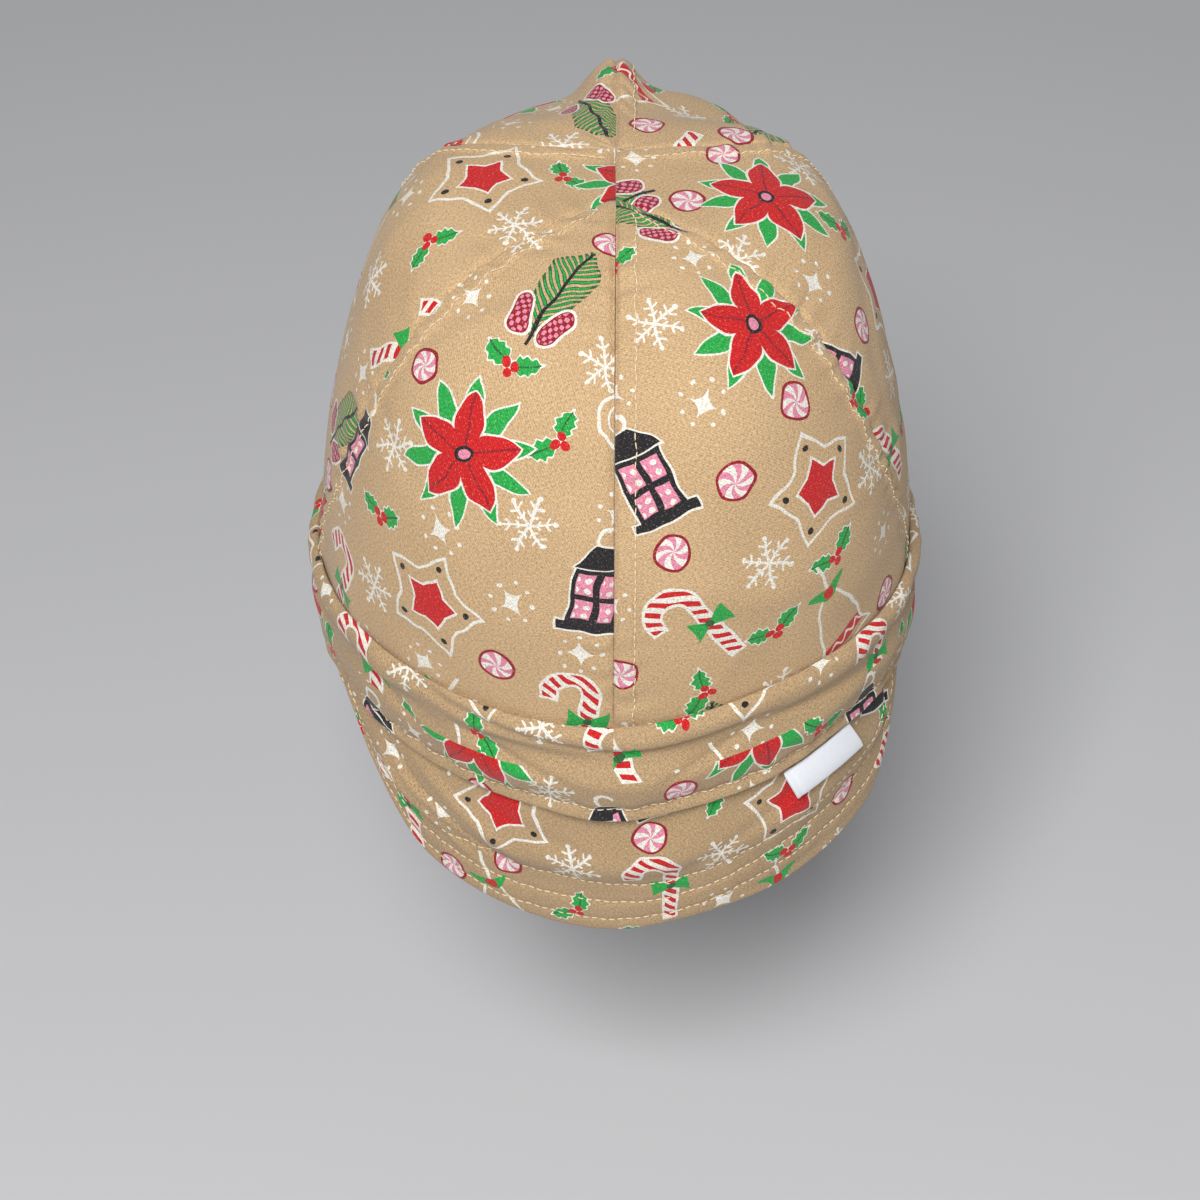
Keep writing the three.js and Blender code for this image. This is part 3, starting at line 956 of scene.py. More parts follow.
@dataclass
class Form:
    """The oval that every piece of the cap follows, and the band's section on it."""

    width: float = 171.0
    nape: float = 87.0
    brow: float = 105.0
    height: float = 145.0
    squareness: float = 0.99
    band_height: float = 31.0
    band_wall: float = 2.4
    fit: float = 0.35
    sections: Table = Table(
        ("azimuth", "top", "tall", "lean"),
        (
            (-180, 1, 1, 2), (-130, 1, 1, 2), (-85, 1.04, 1.02, 0), (-65, 1.09, 1.12, 4),
            (-45, 1.09, 1.17, 7), (-20, 1.01, 1.15, 6), (0, 0.98, 1.14, 1), (14, 1.06, 1.14, 1),
            (28, 1.15, 1.13, 1), (45, 1.17, 1.03, 0), (65, 1.11, 0.99, 0), (85, 1.05, 1, 0),
            (130, 1, 1, 2), (180, 1, 1, 2),
        ),
    )

    def foot(self, azimuth: Array) -> Array:
        """Points of the crown's foot, on the cloth's outer face."""
        turn = np.radians(azimuth)
        reach = np.where(np.cos(turn) > 0, self.nape, self.brow)
        x = self.width / 2 * np.sign(np.sin(turn)) * np.abs(np.sin(turn)) ** self.squareness
        y = -reach * np.sign(np.cos(turn)) * np.abs(np.cos(turn)) ** self.squareness
        z = self.band_height * self.sections.read("top", wrapped(azimuth))
        return np.stack([x, y, z], axis=-1)

    def outward(self, azimuth: Array) -> Array:
        """Level unit vectors square to the foot."""
        run = self.foot(np.asarray(azimuth) + 0.5) - self.foot(np.asarray(azimuth) - 0.5)
        flat = unit(np.stack([run[..., 0], run[..., 1], np.zeros_like(run[..., 0])], axis=-1))
        return np.stack([flat[..., 1], -flat[..., 0], flat[..., 2]], axis=-1)

    def tall(self, azimuth: Array) -> Array:
        """The band's height at each azimuth, in millimetres."""
        return self.band_height * self.sections.read("tall", wrapped(azimuth))

    def band(self, azimuth: Array, depth: Array) -> Array:
        """Points of the band's smooth outer face: depth 0 at its top edge, 1 at its lower."""
        lean = np.radians(self.sections.read("lean", wrapped(azimuth)))
        fall = self.tall(azimuth) * depth
        out = self.fit + self.band_wall - fall * np.sin(lean)
        place = self.foot(azimuth) + self.outward(azimuth) * out[..., None]
        place[..., 2] -= fall * np.cos(lean)
        return place

    def behind_band(self, azimuth: Array, depth: Array) -> Array:
        """Points just inside the band, where what is sewn to it lies."""
        return self.band(azimuth, depth) - self.outward(azimuth) * (self.band_wall + self.fit)

    def tuck_in(self, base: Array, azimuth: Array, tuck: float, rows: int, below: bool) -> None:
        """Puts a sheet's first or last rows behind the band.

        Args:
            base: The sheet's places, which are changed.
            azimuth: Their azimuths.
            tuck: How far the sheet reaches behind the band, in millimetres.
            rows: How many rows are tucked in.
            below: Whether they are the last rows and lie behind the band's lower edge.
        """
        for row in range(rows):
            depth = tuck * (rows - row) / rows / self.band_height
            index = -1 - row if below else row
            depths = np.full(len(azimuth[index]), 1.0 - depth if below else depth)
            base[index] = self.behind_band(azimuth[index], depths)

    def away(self, points: Array) -> Array:
        """Directions square to the plain dome that the crown follows."""
        reach = np.where(points[..., 1] > 0, self.brow, self.nape)
        rise = np.maximum(points[..., 2] - self.band_height, 0.0)
        return unit(
            np.stack(
                [
                    points[..., 0] / (self.width / 2) ** 2,
                    points[..., 1] / reach**2,
                    rise / (self.height - self.band_height) ** 2,
                ],
                axis=-1,
            )
        )


@dataclass(frozen=True)
class Fold:
    """A fold or dent of the crown, in shares of its half width, reach and height."""

    x: float
    y: float
    z: float
    aim: tuple[float, float, float]
    long: float
    wide: float
    rise: float

    def lift(self, form: Form, points: Array) -> Array:
        """How far it moves the cloth out at each point, in millimetres."""
        reach = form.brow if self.y > 0 else form.nape
        centre = np.array([self.x * form.width / 2, self.y * reach, self.z * form.height])
        aim = unit(np.array(self.aim))
        off = points - centre
        along = off @ aim
        across = np.linalg.norm(off - along[..., None] * aim, axis=-1)
        fade = (along / (self.long * form.height)) ** 2 + (across / (self.wide * form.height)) ** 2
        return self.rise * form.height * np.exp(-fade)


class Edge(Enum):
    """How a crown panel's side is sewn."""

    FELLED = "folded allowance with a row of stitches on this panel"
    PLAIN = "turned under the next panel"


@dataclass(frozen=True)
class Panel:
    """One crown panel: the seams that bound it, its edges and its place on the printed cloth."""

    name: str
    side: int
    start: str
    stop: str
    puff: float
    start_edge: Edge
    stop_edge: Edge
    cut: tuple[float, float]
    seed: int

    @property
    def node(self) -> str:
        """The CAD node that the panel replaces."""
        return f"{self.name}_{'right' if self.side > 0 else 'left'}"


@dataclass
class Crown:
    """The six panels of the crown, with their seams, gathers and stitches."""

    form: Form
    cotton: Material
    reverse: Material
    thread: Material
    wall: float = 1.2
    overlap: float = 0.12
    tuck: float = 6.0
    felled: float = 6.0
    gather: float = 0.7
    gather_pitches: tuple[float, float] = (8.5, 4.7)
    gather_reach: float = 9.0
    crease_count: int = 16
    crease: float = 0.7
    crowding: float = 0.62
    seam_margin: float = 12.0
    crisp: float = 0.9
    columns: int = 60
    rows: int = 96
    tucked: int = 2
    sections: Table = Table(
        ("azimuth", "plan", "rise", "belly"),
        (
            (0, 0.8, 0.84, 0.03), (50, 0.72, 0.82, -0.01), (90, 0.5, 0.79, -0.11), (130, 0.5, 0.78, -0.1),
            (180, 0.72, 0.86, 0),
        ),
    )
    seams: Table = Table(
        ("at", "nape", "back", "front", "brow"),
        (
            (0, 0, 80, 118, 180), (0.15, 0, 70, 117, 180), (0.3, 0, 63, 116, 180), (0.5, 0, 58, 114, 180),
            (0.75, 0, 54, 111, 180), (1, 0, 52, 104, 180),
        ),
    )
    tops: dict[str, float] = field(
        default_factory=lambda: {"nape": -8.0, "back": -8.0, "front": 17.0, "brow": 17.0}
    )
    folds: tuple[Fold, ...] = (
        Fold(-0.01, 0.6, 0.95, (0, 0.8, -0.5), 0.17, 0.06, 0.082),
        Fold(0.19, 0.56, 0.94, (0.5, 0.6, -0.6), 0.12, 0.07, 0.022),
        Fold(0.34, 0.48, 0.91, (1, 0.1, -0.2), 0.17, 0.1, -0.078),
        Fold(-0.34, 0.5, 0.92, (1, 0.1, 0.2), 0.2, 0.12, -0.05),
    )
    panels: tuple[Panel, ...] = (
        Panel("panel_back", 1, "nape", "back", 0.02, Edge.FELLED, Edge.FELLED, (11.0, 7.0), 11),
        Panel("panel_side", 1, "back", "front", 0.014, Edge.PLAIN, Edge.FELLED, (60.0, 140.0), 12),
        Panel("panel_front", 1, "front", "brow", 0.014, Edge.PLAIN, Edge.FELLED, (210.0, 40.0), 13),
        Panel("panel_back", -1, "nape", "back", 0.02, Edge.PLAIN, Edge.FELLED, (-150.0, 33.0), 14),
        Panel("panel_side", -1, "back", "front", 0.014, Edge.PLAIN, Edge.FELLED, (-260.0, 90.0), 15),
        Panel("panel_front", -1, "front", "brow", 0.014, Edge.PLAIN, Edge.PLAIN, (-390.0, 12.0), 16),
    )

    def level(self, panel: Panel, share: Array, climb: Array) -> Array:
        """Azimuths in a panel, without their sign."""
        near = share if panel.side > 0 else 1.0 - share
        return blend(self.seams.read(panel.start, climb), self.seams.read(panel.stop, climb), near)

    def place(self, panel: Panel, share: Array, climb: Array) -> Array:
        """Points of a panel's outer face: share runs round it, climb from band to middle seam."""
        near = share if panel.side > 0 else 1.0 - share
        level = self.level(panel, share, climb)
        start = self.form.foot(panel.side * level)
        top = blend(self.tops[panel.start], self.tops[panel.stop], near)
        angle = climb * np.pi / 2
        belly = self.sections.read("belly", level) * np.sin(np.pi * climb) * np.cos(angle)
        plan = np.maximum(np.cos(angle), 0.0) ** self.sections.read("plan", level) + belly
        rise = np.sin(angle) ** self.sections.read("rise", level)
        points = np.stack(
            [
                start[..., 0] * plan,
                top + (start[..., 1] - top) * plan,
                start[..., 2] + (self.form.height - start[..., 2]) * rise,
            ],
            axis=-1,
        )
        out = panel.puff * self.form.height * np.sin(np.pi * share) * np.sin(np.pi * climb)
        out = out + sum(fold.lift(self.form, points) for fold in self.folds)
        return points + self.form.away(points) * out[..., None]

    def last_climb(self, panel: Panel) -> float:
        """Where a pointed panel has grown too narrow to sew."""
        if self.tops[panel.start] != self.tops[panel.stop]:
            return 1.0
        climb = np.linspace(0.9, 1.0, 400)
        ends = self.place(panel, np.ones_like(climb), climb) - self.place(panel, np.zeros_like(climb), climb)
        return float(climb[np.linalg.norm(ends, axis=-1) > 1.0].max())

    def edge_relief(self, edge: Edge, off: Array) -> Array:
        """Height of the cloth by its distance from a seam, in millimetres."""
        if edge is Edge.PLAIN:
            return -0.8 * hump(off, 1.2)
        strip = 0.55 * (smooth(0.2, 1.3, off) - smooth(self.felled - 0.5, self.felled + 0.9, off))
        return strip - 0.3 * hump(off - self.felled, 0.55) - 0.7 * hump(off, 0.8)

    def gathers(self, points: Array, off: Array, along: Array, seed: int) -> Array:
        """Small puckers that a seam draws into the cloth, in millimetres."""
        phase = 2.2 * ripple(points, 34.0, seed)
        long, short = (2.0 * np.pi * along / pitch for pitch in self.gather_pitches)
        wave = np.sin(long + phase) + 0.5 * np.sin(short - 1.7 * phase)
        near = hump(off, self.gather_reach) * smooth(0.0, 1.5, off)
        return self.gather * wave * near * (0.6 + 0.4 * ripple(points, 50.0, seed + 50))

    def creases(self, points: Array, panel: Panel) -> Array:
        """Soft chance creases of the cloth from wear, in millimetres."""
        chance = np.random.default_rng(panel.seed)
        total = 0.35 * ripple(points, 60.0, panel.seed + 7) + 0.16 * ripple(points, 24.0, panel.seed + 9)
        flat = points.reshape(-1, 3)
        for _ in range(self.crease_count):
            centre = flat[chance.integers(len(flat))]
            aim = unit(chance.normal(size=3) * np.array([1.0, 1.0, 0.7]))
            out = self.form.away(centre)
            aim = unit(aim - out * (aim @ out))
            long, wide = chance.uniform(12.0, 34.0), chance.uniform(2.4, 5.5)
            off = points - centre
            along = off @ aim
            across = off @ np.cross(out, aim) + 0.012 * along**2
            fade = -((along / long) ** 2) - (across / wide) ** 2
            total += chance.uniform(-self.crease, self.crease) * np.exp(fade)
        return total

    def build_panel(self, panel: Panel) -> Object:
        """Makes one panel with its rows of stitches, and returns its cloth."""
        sheet = Weft(f"{panel.node}_cloth", self.columns, self.rows)
        base = self.rest(panel, sheet)
        sheet.shape(base)
        sheet.unwrap(panel.cut)
        facing = grid_facing(base)
        facing[-1] = facing[-2]
        edges = (panel.start_edge, panel.stop_edge)[:: panel.side]
        final = base + facing * self.relief(panel, edges, base)[..., None]
        sheet.shape(final)
        rows = []
        for edge, way in zip(edges, (1, -1)):
            if edge is Edge.FELLED:
                rows.append(self.stitch_path(final[:, ::way], facing[:, ::way]))
        dress_sheet(sheet.piece, (self.cotton, self.reverse), self.wall, panel.node, self.crisp)
        area = area_of(sheet.piece) / 2
        thread = Stitches(f"{panel.node}_thread").build(rows, self.thread) if rows else None
        declare(sheet.piece, sheet.flat, area)
        return sheet.piece

    def rest(self, panel: Panel, sheet: Weft) -> Array:
        """A panel's plain form on its sheet's grid, with its lowest rows behind the band."""
        spread = 0.5 - 0.5 * np.cos(np.pi * sheet.across)
        share = blend(sheet.across, spread, self.crowding)
        sewn = self.rows - self.tucked
        climb = self.last_climb(panel) * np.maximum(sheet.up * self.rows - self.tucked, 0.0) / sewn
        base = self.place(panel, share, climb)
        inset = -0.5 * self.overlap / np.maximum(run_lengths(base, 1)[:, -1:], 1.0)
        share = inset + share * (1.0 - 2.0 * inset)
        base = self.place(panel, share, climb)
        azimuth = panel.side * self.level(panel, share, climb)
        self.form.tuck_in(base, azimuth, self.tuck, self.tucked, False)
        if self.tops[panel.start] != self.tops[panel.stop]:
            base[-1, :, 0] = -panel.side * 0.5 * self.overlap
        return base

    def relief(self, panel: Panel, edges: tuple[Edge, Edge], base: Array) -> Array:
        """How far a panel's cloth stands off its plain form.

        Args:
            panel: The panel.
            edges: How its grid's first and last columns are sewn.
            base: The plain form's places, rows by columns.

        Returns:
            The height at each place, in millimetres.
        """
        off = run_lengths(base, 1)
        far = off[:, -1:] - off
        along = run_lengths(base, 0)
        seams = self.edge_relief(edges[0], off) + self.edge_relief(edges[1], far)
        drawn = self.gathers(base, off, along, panel.seed + 20)
        drawn = drawn + self.gathers(base, far, along, panel.seed + 30)
        wear_and_shade = self.creases(base, panel)
        wear_and_shade = wear_and_shade * smooth(0.0, self.seam_margin, off) * smooth(0.0, self.seam_margin, far)
        lift = smooth(2.0, 14.0, off[:, -1:]) * (seams + drawn) + wear_and_shade
        lift[: self.tucked] = 0.0
        return lift * smooth(0.0, 6.0, along)

    def stitch_path(self, cloth: Array, facing: Array) -> Path:
        """Follows the felled seam on the grid's first side, until the panel is too narrow.

        Args:
            cloth: The grid of places, rows by columns.
            facing: Its normals.

        Returns:
            The path's points and normals.
        """
        run = run_lengths(cloth, 1)
        points, normals = [], []
        for r in range(self.tucked, len(cloth)):
            width = run[r, -1]
            if width < self.felled:
                break
            at = min(self.felled, 0.42 * width)
            points.append(read_path(at, run[r], cloth[r]))
            normals.append(read_path(at, run[r], facing[r]))
        return np.array(points), unit(np.array(normals))

    def build(self) -> list[Object]:
        """Makes the six panels."""
        return [self.build_panel(panel) for panel in self.panels]


def dress_sheet(
    piece: Object,
    finishes: tuple[Material, Material],
    wall: float,
    node: str,
    crisp: float = 0.0,
) -> None:
    """Gives a sheet its thickness, softness and two faces, in place of a CAD node.

    Args:
        piece: The sheet, one layer of faces that point outwards.
        finishes: The finish of its outer face, and that of its inner face and edges.
        wall: Its thickness in millimetres.
        node: The CAD node that it replaces.
        crisp: How crisp its edges are, from 0 to 1.
    """
    for finish in finishes:
        piece.data.materials.append(finish)
    finish_with(
        piece,
        "SOLIDIFY",
        thickness=wall * MM,
        offset=-1.0,
        material_offset=1,
        material_offset_rim=1,
        edge_crease_outer=crisp,
        edge_crease_inner=crisp,
    )
    stand_in(piece, node)


def declare(
    piece: Object,
    flat: tuple[float, float],
    area: float,
) -> None:
    """Reports what a sheet of cloth was cut to.

    Args:
        piece: The sheet.
        flat: Its cut size in metres.
        area: Its flat area in square metres.
    """
    share = min(area, flat[0] * flat[1])
    log.info("%s: cut %.0f x %.0f mm, %.0f cm2", piece.name, flat[0] / MM, flat[1] / MM, share * 1e4)


@dataclass(frozen=True)
class Groove:
    """A crease that runs in a straight line from one azimuth and depth to another."""

    start: tuple[float, float]
    stop: tuple[float, float]
    wide: float
    rise: float

    def lift(self, azimuth: Array, depth: Array, tall: float) -> Array:
        """How far it moves the cloth, in millimetres.

        Args:
            azimuth: Places round the cap, in degrees.
            depth: Places down the piece, in shares of its height.
            tall: That height in millimetres.

        Returns:
            The lift at each place.
        """
        share = (azimuth - self.start[0]) / (self.stop[0] - self.start[0])
        line = blend(self.start[1], self.stop[1], np.clip(share, -0.2, 1.2))
        ends = smooth(-0.25, 0.2, share) * (1.0 - smooth(0.8, 1.25, share))
        return self.rise * ends * hump((depth - line) * tall, self.wide)


@dataclass
class Band:
    """The folded band round the crown's foot."""

    form: Form
    cotton: Material
    thread: Material
    around: int = 256
    section: int = 60
    hem: float = 4.7
    hem_dent: float = 0.6
    hem_pucker: float = 0.5
    hem_swell: float = 0.15
    top_pucker: float = 0.3
    puckers: int = 66
    rumple: float = 0.34
    cut: tuple[float, float] = (23.0, 512.0)
    relief: Table = Table(
        ("at", "out", "slack"),
        (
            (0, -0.02, 1), (0.07, 0.045, 0.7), (0.19, 0.055, 0.45), (0.33, -0.03, 0.1), (0.55, 0.055, 0.5),
            (0.76, 0.025, 0.5), (0.87, -0.03, 1), (1, -0.01, 1),
        ),
    )
    grooves: tuple[Groove, ...] = (
        Groove((-40, 0.05), (4, 0.25), 1.8, -1.7),
        Groove((0, 0.25), (28, 0.22), 1.8, -1.5),
        Groove((-28, 0.36), (-9, 0.56), 1.6, -1.7),
        Groove((-17, 0.56), (12, 0.5), 4.0, 0.8),
        Groove((9, 0.56), (23, 0.36), 1.5, -1.1),
        Groove((-54, 0.26), (-36, 0.62), 2.0, -1.0),
        Groove((-48, 0.2), (-30, 0.34), 2.4, 0.7),
        Groove((28, 0.3), (58, 0.46), 1.8, -0.8),
        Groove((30, 0.62), (52, 0.5), 3.0, 0.6),
        Groove((-84, 0.3), (-60, 0.6), 1.8, -0.7),
    )

    def profile(self) -> tuple[Array, Array, Array]:
        """The section as one closed loop from the middle of the outer face upwards.

        Returns:
            Depths in shares of the height, insets in millimetres, and how much of the relief
            each place takes.
        """
        wall, tall = self.form.band_wall, self.form.band_height * 1.1
        radius = wall / 2
        edge = radius / tall
        arc = np.linspace(0.0, np.pi, 9)[1:-1]
        rest = self.section - 2 * len(arc)
        face = int(rest * 0.68)
        down = np.linspace(edge, 1.0 - edge, face)
        inner = np.linspace(edge, 1.0 - edge, rest - face)
        bulge, turn = edge * np.sin(arc), radius * np.cos(arc)
        depth = np.concatenate([down[::-1], edge - bulge, inner, 1.0 - edge + bulge])
        inset = np.concatenate([np.zeros(face), radius - turn, np.full(len(inner), wall), radius + turn])
        shift = face // 2
        depth, inset = np.roll(depth, -shift), np.roll(inset, -shift)
        return depth, inset, 1.0 - smooth(0.0, wall, inset)

    def build(self) -> Object:
        """Makes the band from a ring, and returns it."""
        deselect()
        bpy.ops.mesh.primitive_torus_add(
            major_segments=self.around, minor_segments=self.section, major_radius=0.09, minor_radius=0.01
        )
        piece = bpy.context.active_object
        piece.name = piece.data.name = "band_cloth"
        depth, inset, taken = self.profile()
        shape = (self.around, self.section)
        azimuth = wrapped(np.broadcast_to((np.arange(self.around) * 360.0 / self.around)[:, None], shape))
        depths = np.broadcast_to(depth, shape)
        place = self.form.band(azimuth, depths)
        out = self.lift(azimuth, depths) * taken - inset
        place = place + self.form.outward(azimuth) * out[..., None]
        move_corners(piece, place.reshape(-1, 3) * MM)
        self.map_cloth(piece, place)
        piece.data.materials.append(self.cotton)
        length = float(run_lengths(np.concatenate([place, place[:1]]), 0)[-1, 0])
        stand_in(piece, "band")
        flat = (length * MM, float(self.form.tall(azimuth).max()) * 1.06 * MM)
        thread = Stitches("band_thread", rise=0.45).build([self.stitch_row()], self.thread)
        declare(piece, flat, area_of(piece) / 2)
        return piece

    def lift(self, azimuth: Array, depth: Array) -> Array:
        """The outer face's relief: its folds, the row of stitches and the hem, in millimetres."""
        tall = self.form.tall(azimuth)
        place = self.form.band(azimuth, depth)
        loose = blend(self.relief.read("slack", depth), 1.0, np.cos(np.radians(azimuth) / 2) ** 14)
        total = self.relief.read("out", depth) * self.form.band_height * loose
        total = total + sum(groove.lift(azimuth, depth, tall) for groove in self.grooves)
        total = total + self.rumple * ripple(place * np.array([1.0, 1.0, 2.2]), 28.0, 41)
        wave = np.sin(np.radians(azimuth) * self.puckers + 2.4 * ripple(place, 40.0, 43))
        rest = tall * (1.0 - depth)
        total = total + self.hem_pucker * wave * hump(rest - self.hem, 3.6)
        total = total + self.top_pucker * wave * hump(depth * tall, 3.5)
        total = total + self.hem_swell * hump(rest - 1.9, 1.6)
        return total - self.hem_dent * hump(rest - self.hem, 0.9)

    def stitch_row(self) -> Path:
        """The points and normals of the row of stitches above the hem."""
        azimuth = np.linspace(-180.0, 180.0, 1200)
        depth = 1.0 - self.hem / self.form.tall(azimuth)
        out = self.form.outward(azimuth)
        return self.form.band(azimuth, depth) + out * self.lift(azimuth, depth)[..., None], out

    def map_cloth(self, piece: Object, place: Array) -> None:
        """Lays the print along the strip, from the ring's places in millimetres."""
        loop = np.concatenate([place, place[:1]])
        run = run_lengths(loop, 0).mean(axis=1)
        climb = run_lengths(np.concatenate([place, place[:, :1]], axis=1), 1).mean(axis=0)
        faces = loop_corners(piece).reshape(-1, 4)
        major, minor = faces // self.section, faces % self.section
        for index, count in ((major, self.around), (minor, self.section)):
            last = (index == count - 1).any(axis=1, keepdims=True)
            index[(index == 0) & last] = count
        per_corner = np.stack([run[major], climb[minor]], axis=-1) + np.array(self.cut)
        write_map(piece, per_corner.reshape(-1, 2) * MM)


@dataclass
class Peak:
    """The stitched cloth peak that hangs over the nape."""

    form: Form
    cotton: Material
    thread: Material
    length: float = 50.6
    wall: float = 2.6
    tuck: float = 5.0
    half_sweep: float = 82.0
    cut: tuple[float, float] = (640.0, 25.0)
    seam_dent: float = 0.9
    seam_pucker: float = 0.25
    pucker_pitch: float = 5.2
    row_dent: float = 0.5
    row_width: float = 0.9
    row_pucker: float = 0.17
    edge_dent: float = 0.5
    rumples: tuple[tuple[float, float, int], ...] = ((0.42, 32.0, 61), (0.16, 13.0, 62))
    tucked: int = 2
    columns: int = 200
    rows: int = 58
    rows_of_stitches: Table = Table(
        ("azimuth", "outer", "middle", "inner"),
        (
            (-82, 3.5, 8, 14), (-40, 4.7, 12, 19), (-20, 5.3, 12.9, 21.3), (-8, 5.7, 13.8, 22.6),
            (8, 5.2, 12.6, 20.2), (20, 6, 13.8, 21.5), (32, 9.4, 17.8, 25.4), (50, 9.6, 18.4, 26.6),
            (82, 7, 15, 22),
        ),
    )
    sections: Table = Table(
        ("azimuth", "reach", "lean"),
        (
            (-82, 0.03, 1), (-73, 0.17, 3), (-65, 0.43, 3), (-52, 0.77, 2), (-44, 0.91, 2), (-20, 1, 3),
            (0, 1, 4), (20, 1, 3), (33, 1, 1), (44, 0.98, 0), (54, 0.89, -2), (62, 0.75, -4),
            (73, 0.33, -5), (82, 0.02, -3),
        ),
    )
    relief: Table = Table(
        ("at", "out"),
        ((0, 0), (0.08, -0.008), (0.37, 0.054), (0.6, 0.013), (0.79, 0.013), (1, 0)),
    )
    grooves: tuple[Groove, ...] = (
        Groove((-48, 0.24), (-25, 0.57), 1.8, -3.7),
        Groove((-52, 0.36), (-31, 0.68), 2.6, 1.4),
        Groove((-42, 0.14), (-20, 0.42), 3.0, 1.2),
        Groove((-26, 0.16), (-6, 0.3), 2.6, -0.6),
        Groove((-24, 0.44), (16, 0.4), 5.0, 0.9),
        Groove((16, 0.46), (38, 0.2), 3.0, -0.8),
    )

    def reach(self, azimuth: Array) -> Array:
        """How far the peak hangs below the band, in millimetres."""
        return self.length * self.sections.read("reach", azimuth)

    def place(self, azimuth: Array, drop: Array) -> Array:
        """Points of the outer face: drop 0 at the band's lower edge, 1 at the peak's edge."""
        lean = np.radians(self.sections.read("lean", azimuth))
        fall = self.reach(azimuth) * drop
        relief = self.reach(azimuth) * self.relief.read("out", drop)
        point = self.form.behind_band(azimuth, np.ones_like(azimuth))
        point = point + self.form.outward(azimuth) * (relief - fall * np.sin(lean))[..., None]
        point[..., 2] -= fall * np.cos(lean)
        return point

    def lift(self, azimuth: Array, drop: Array, base: Array) -> Array:
        """The loose cloth, its seams and its rows of stitches, in millimetres."""
        reach = self.reach(azimuth)
        fall, rest = reach * drop, reach * (1.0 - drop)
        inside = smooth(0.0, 5.0, np.minimum(fall, rest))
        total = sum(groove.lift(azimuth, drop, self.length) for groove in self.grooves) * inside
        for rise, length, seed in self.rumples:
            total = total + rise * ripple(base, length, seed) * inside
        total = total - self.seam_dent * hump(fall, 1.8)
        wave = np.sin(2.0 * np.pi * azimuth / self.pucker_pitch + 2.0 * ripple(base, 40.0, 63))
        total = total + self.seam_pucker * wave * hump(fall - 2.5, 4.0) * smooth(3.0, 12.0, reach)
        for name in self.rows_of_stitches.columns[1:]:
            off = (rest - self.rows_of_stitches.read(name, azimuth)) / self.row_width
            total = total - self.row_dent * hump(off, 1.0) * smooth(2.0, 7.0, fall)
            total = total + self.row_pucker * wave * hump(off, 3.0) * inside
        return total - self.edge_dent * hump(rest, 1.0)

    def build(self) -> Object:
        """Makes the peak and its rows of stitches, and returns it."""
        sheet = Weft("peak_cloth", self.columns, self.rows)
        tucked = self.tucked
        azimuth = blend(-self.half_sweep, self.half_sweep, sheet.across)
        climb = sheet.up[::-1] * self.rows
        drop = np.clip((climb - tucked) / (self.rows - tucked), 0.0, 1.0)
        base = self.place(azimuth, drop)
        self.form.tuck_in(base, azimuth, self.tuck, tucked, True)
        sheet.shape(base)
        sheet.unwrap(self.cut)
        lift = self.lift(azimuth, drop, base)
        lift[self.rows - tucked + 1 :] = 0.0
        sheet.shape(base + grid_facing(base) * lift[..., None])
        rows = [self.stitch_row(name) for name in self.rows_of_stitches.columns[1:]]
        dress_sheet(sheet.piece, (self.cotton, self.cotton), self.wall, "peak")
        thread = Stitches("peak_thread").build(rows, self.thread)
        declare(sheet.piece, sheet.flat, area_of(sheet.piece) / 2)
        return sheet.piece

    def stitch_row(self, name: str) -> Path:
        """One of the rows of stitches that follow the peak's edge.

        Args:
            name: Its column in the table of rows.

        Returns:
            The row's points and normals.
        """
        azimuth = np.linspace(-self.half_sweep, self.half_sweep, 600)
        off = self.rows_of_stitches.read(name, azimuth)
        azimuth = azimuth[self.reach(azimuth) > off + 2.0]
        drop = 1.0 - self.rows_of_stitches.read(name, azimuth) / self.reach(azimuth)
        around = np.stack([azimuth - 0.2, azimuth, azimuth + 0.2], axis=0)
        down = np.stack([drop] * 3, axis=0)
        flat = self.place(around, down)
        below = self.place(azimuth, drop + 0.004)
        facing = unit(np.cross(flat[2] - flat[0], flat[1] - below))
        base = flat[1]
        return base + facing * self.lift(azimuth, drop, base)[:, None], facing


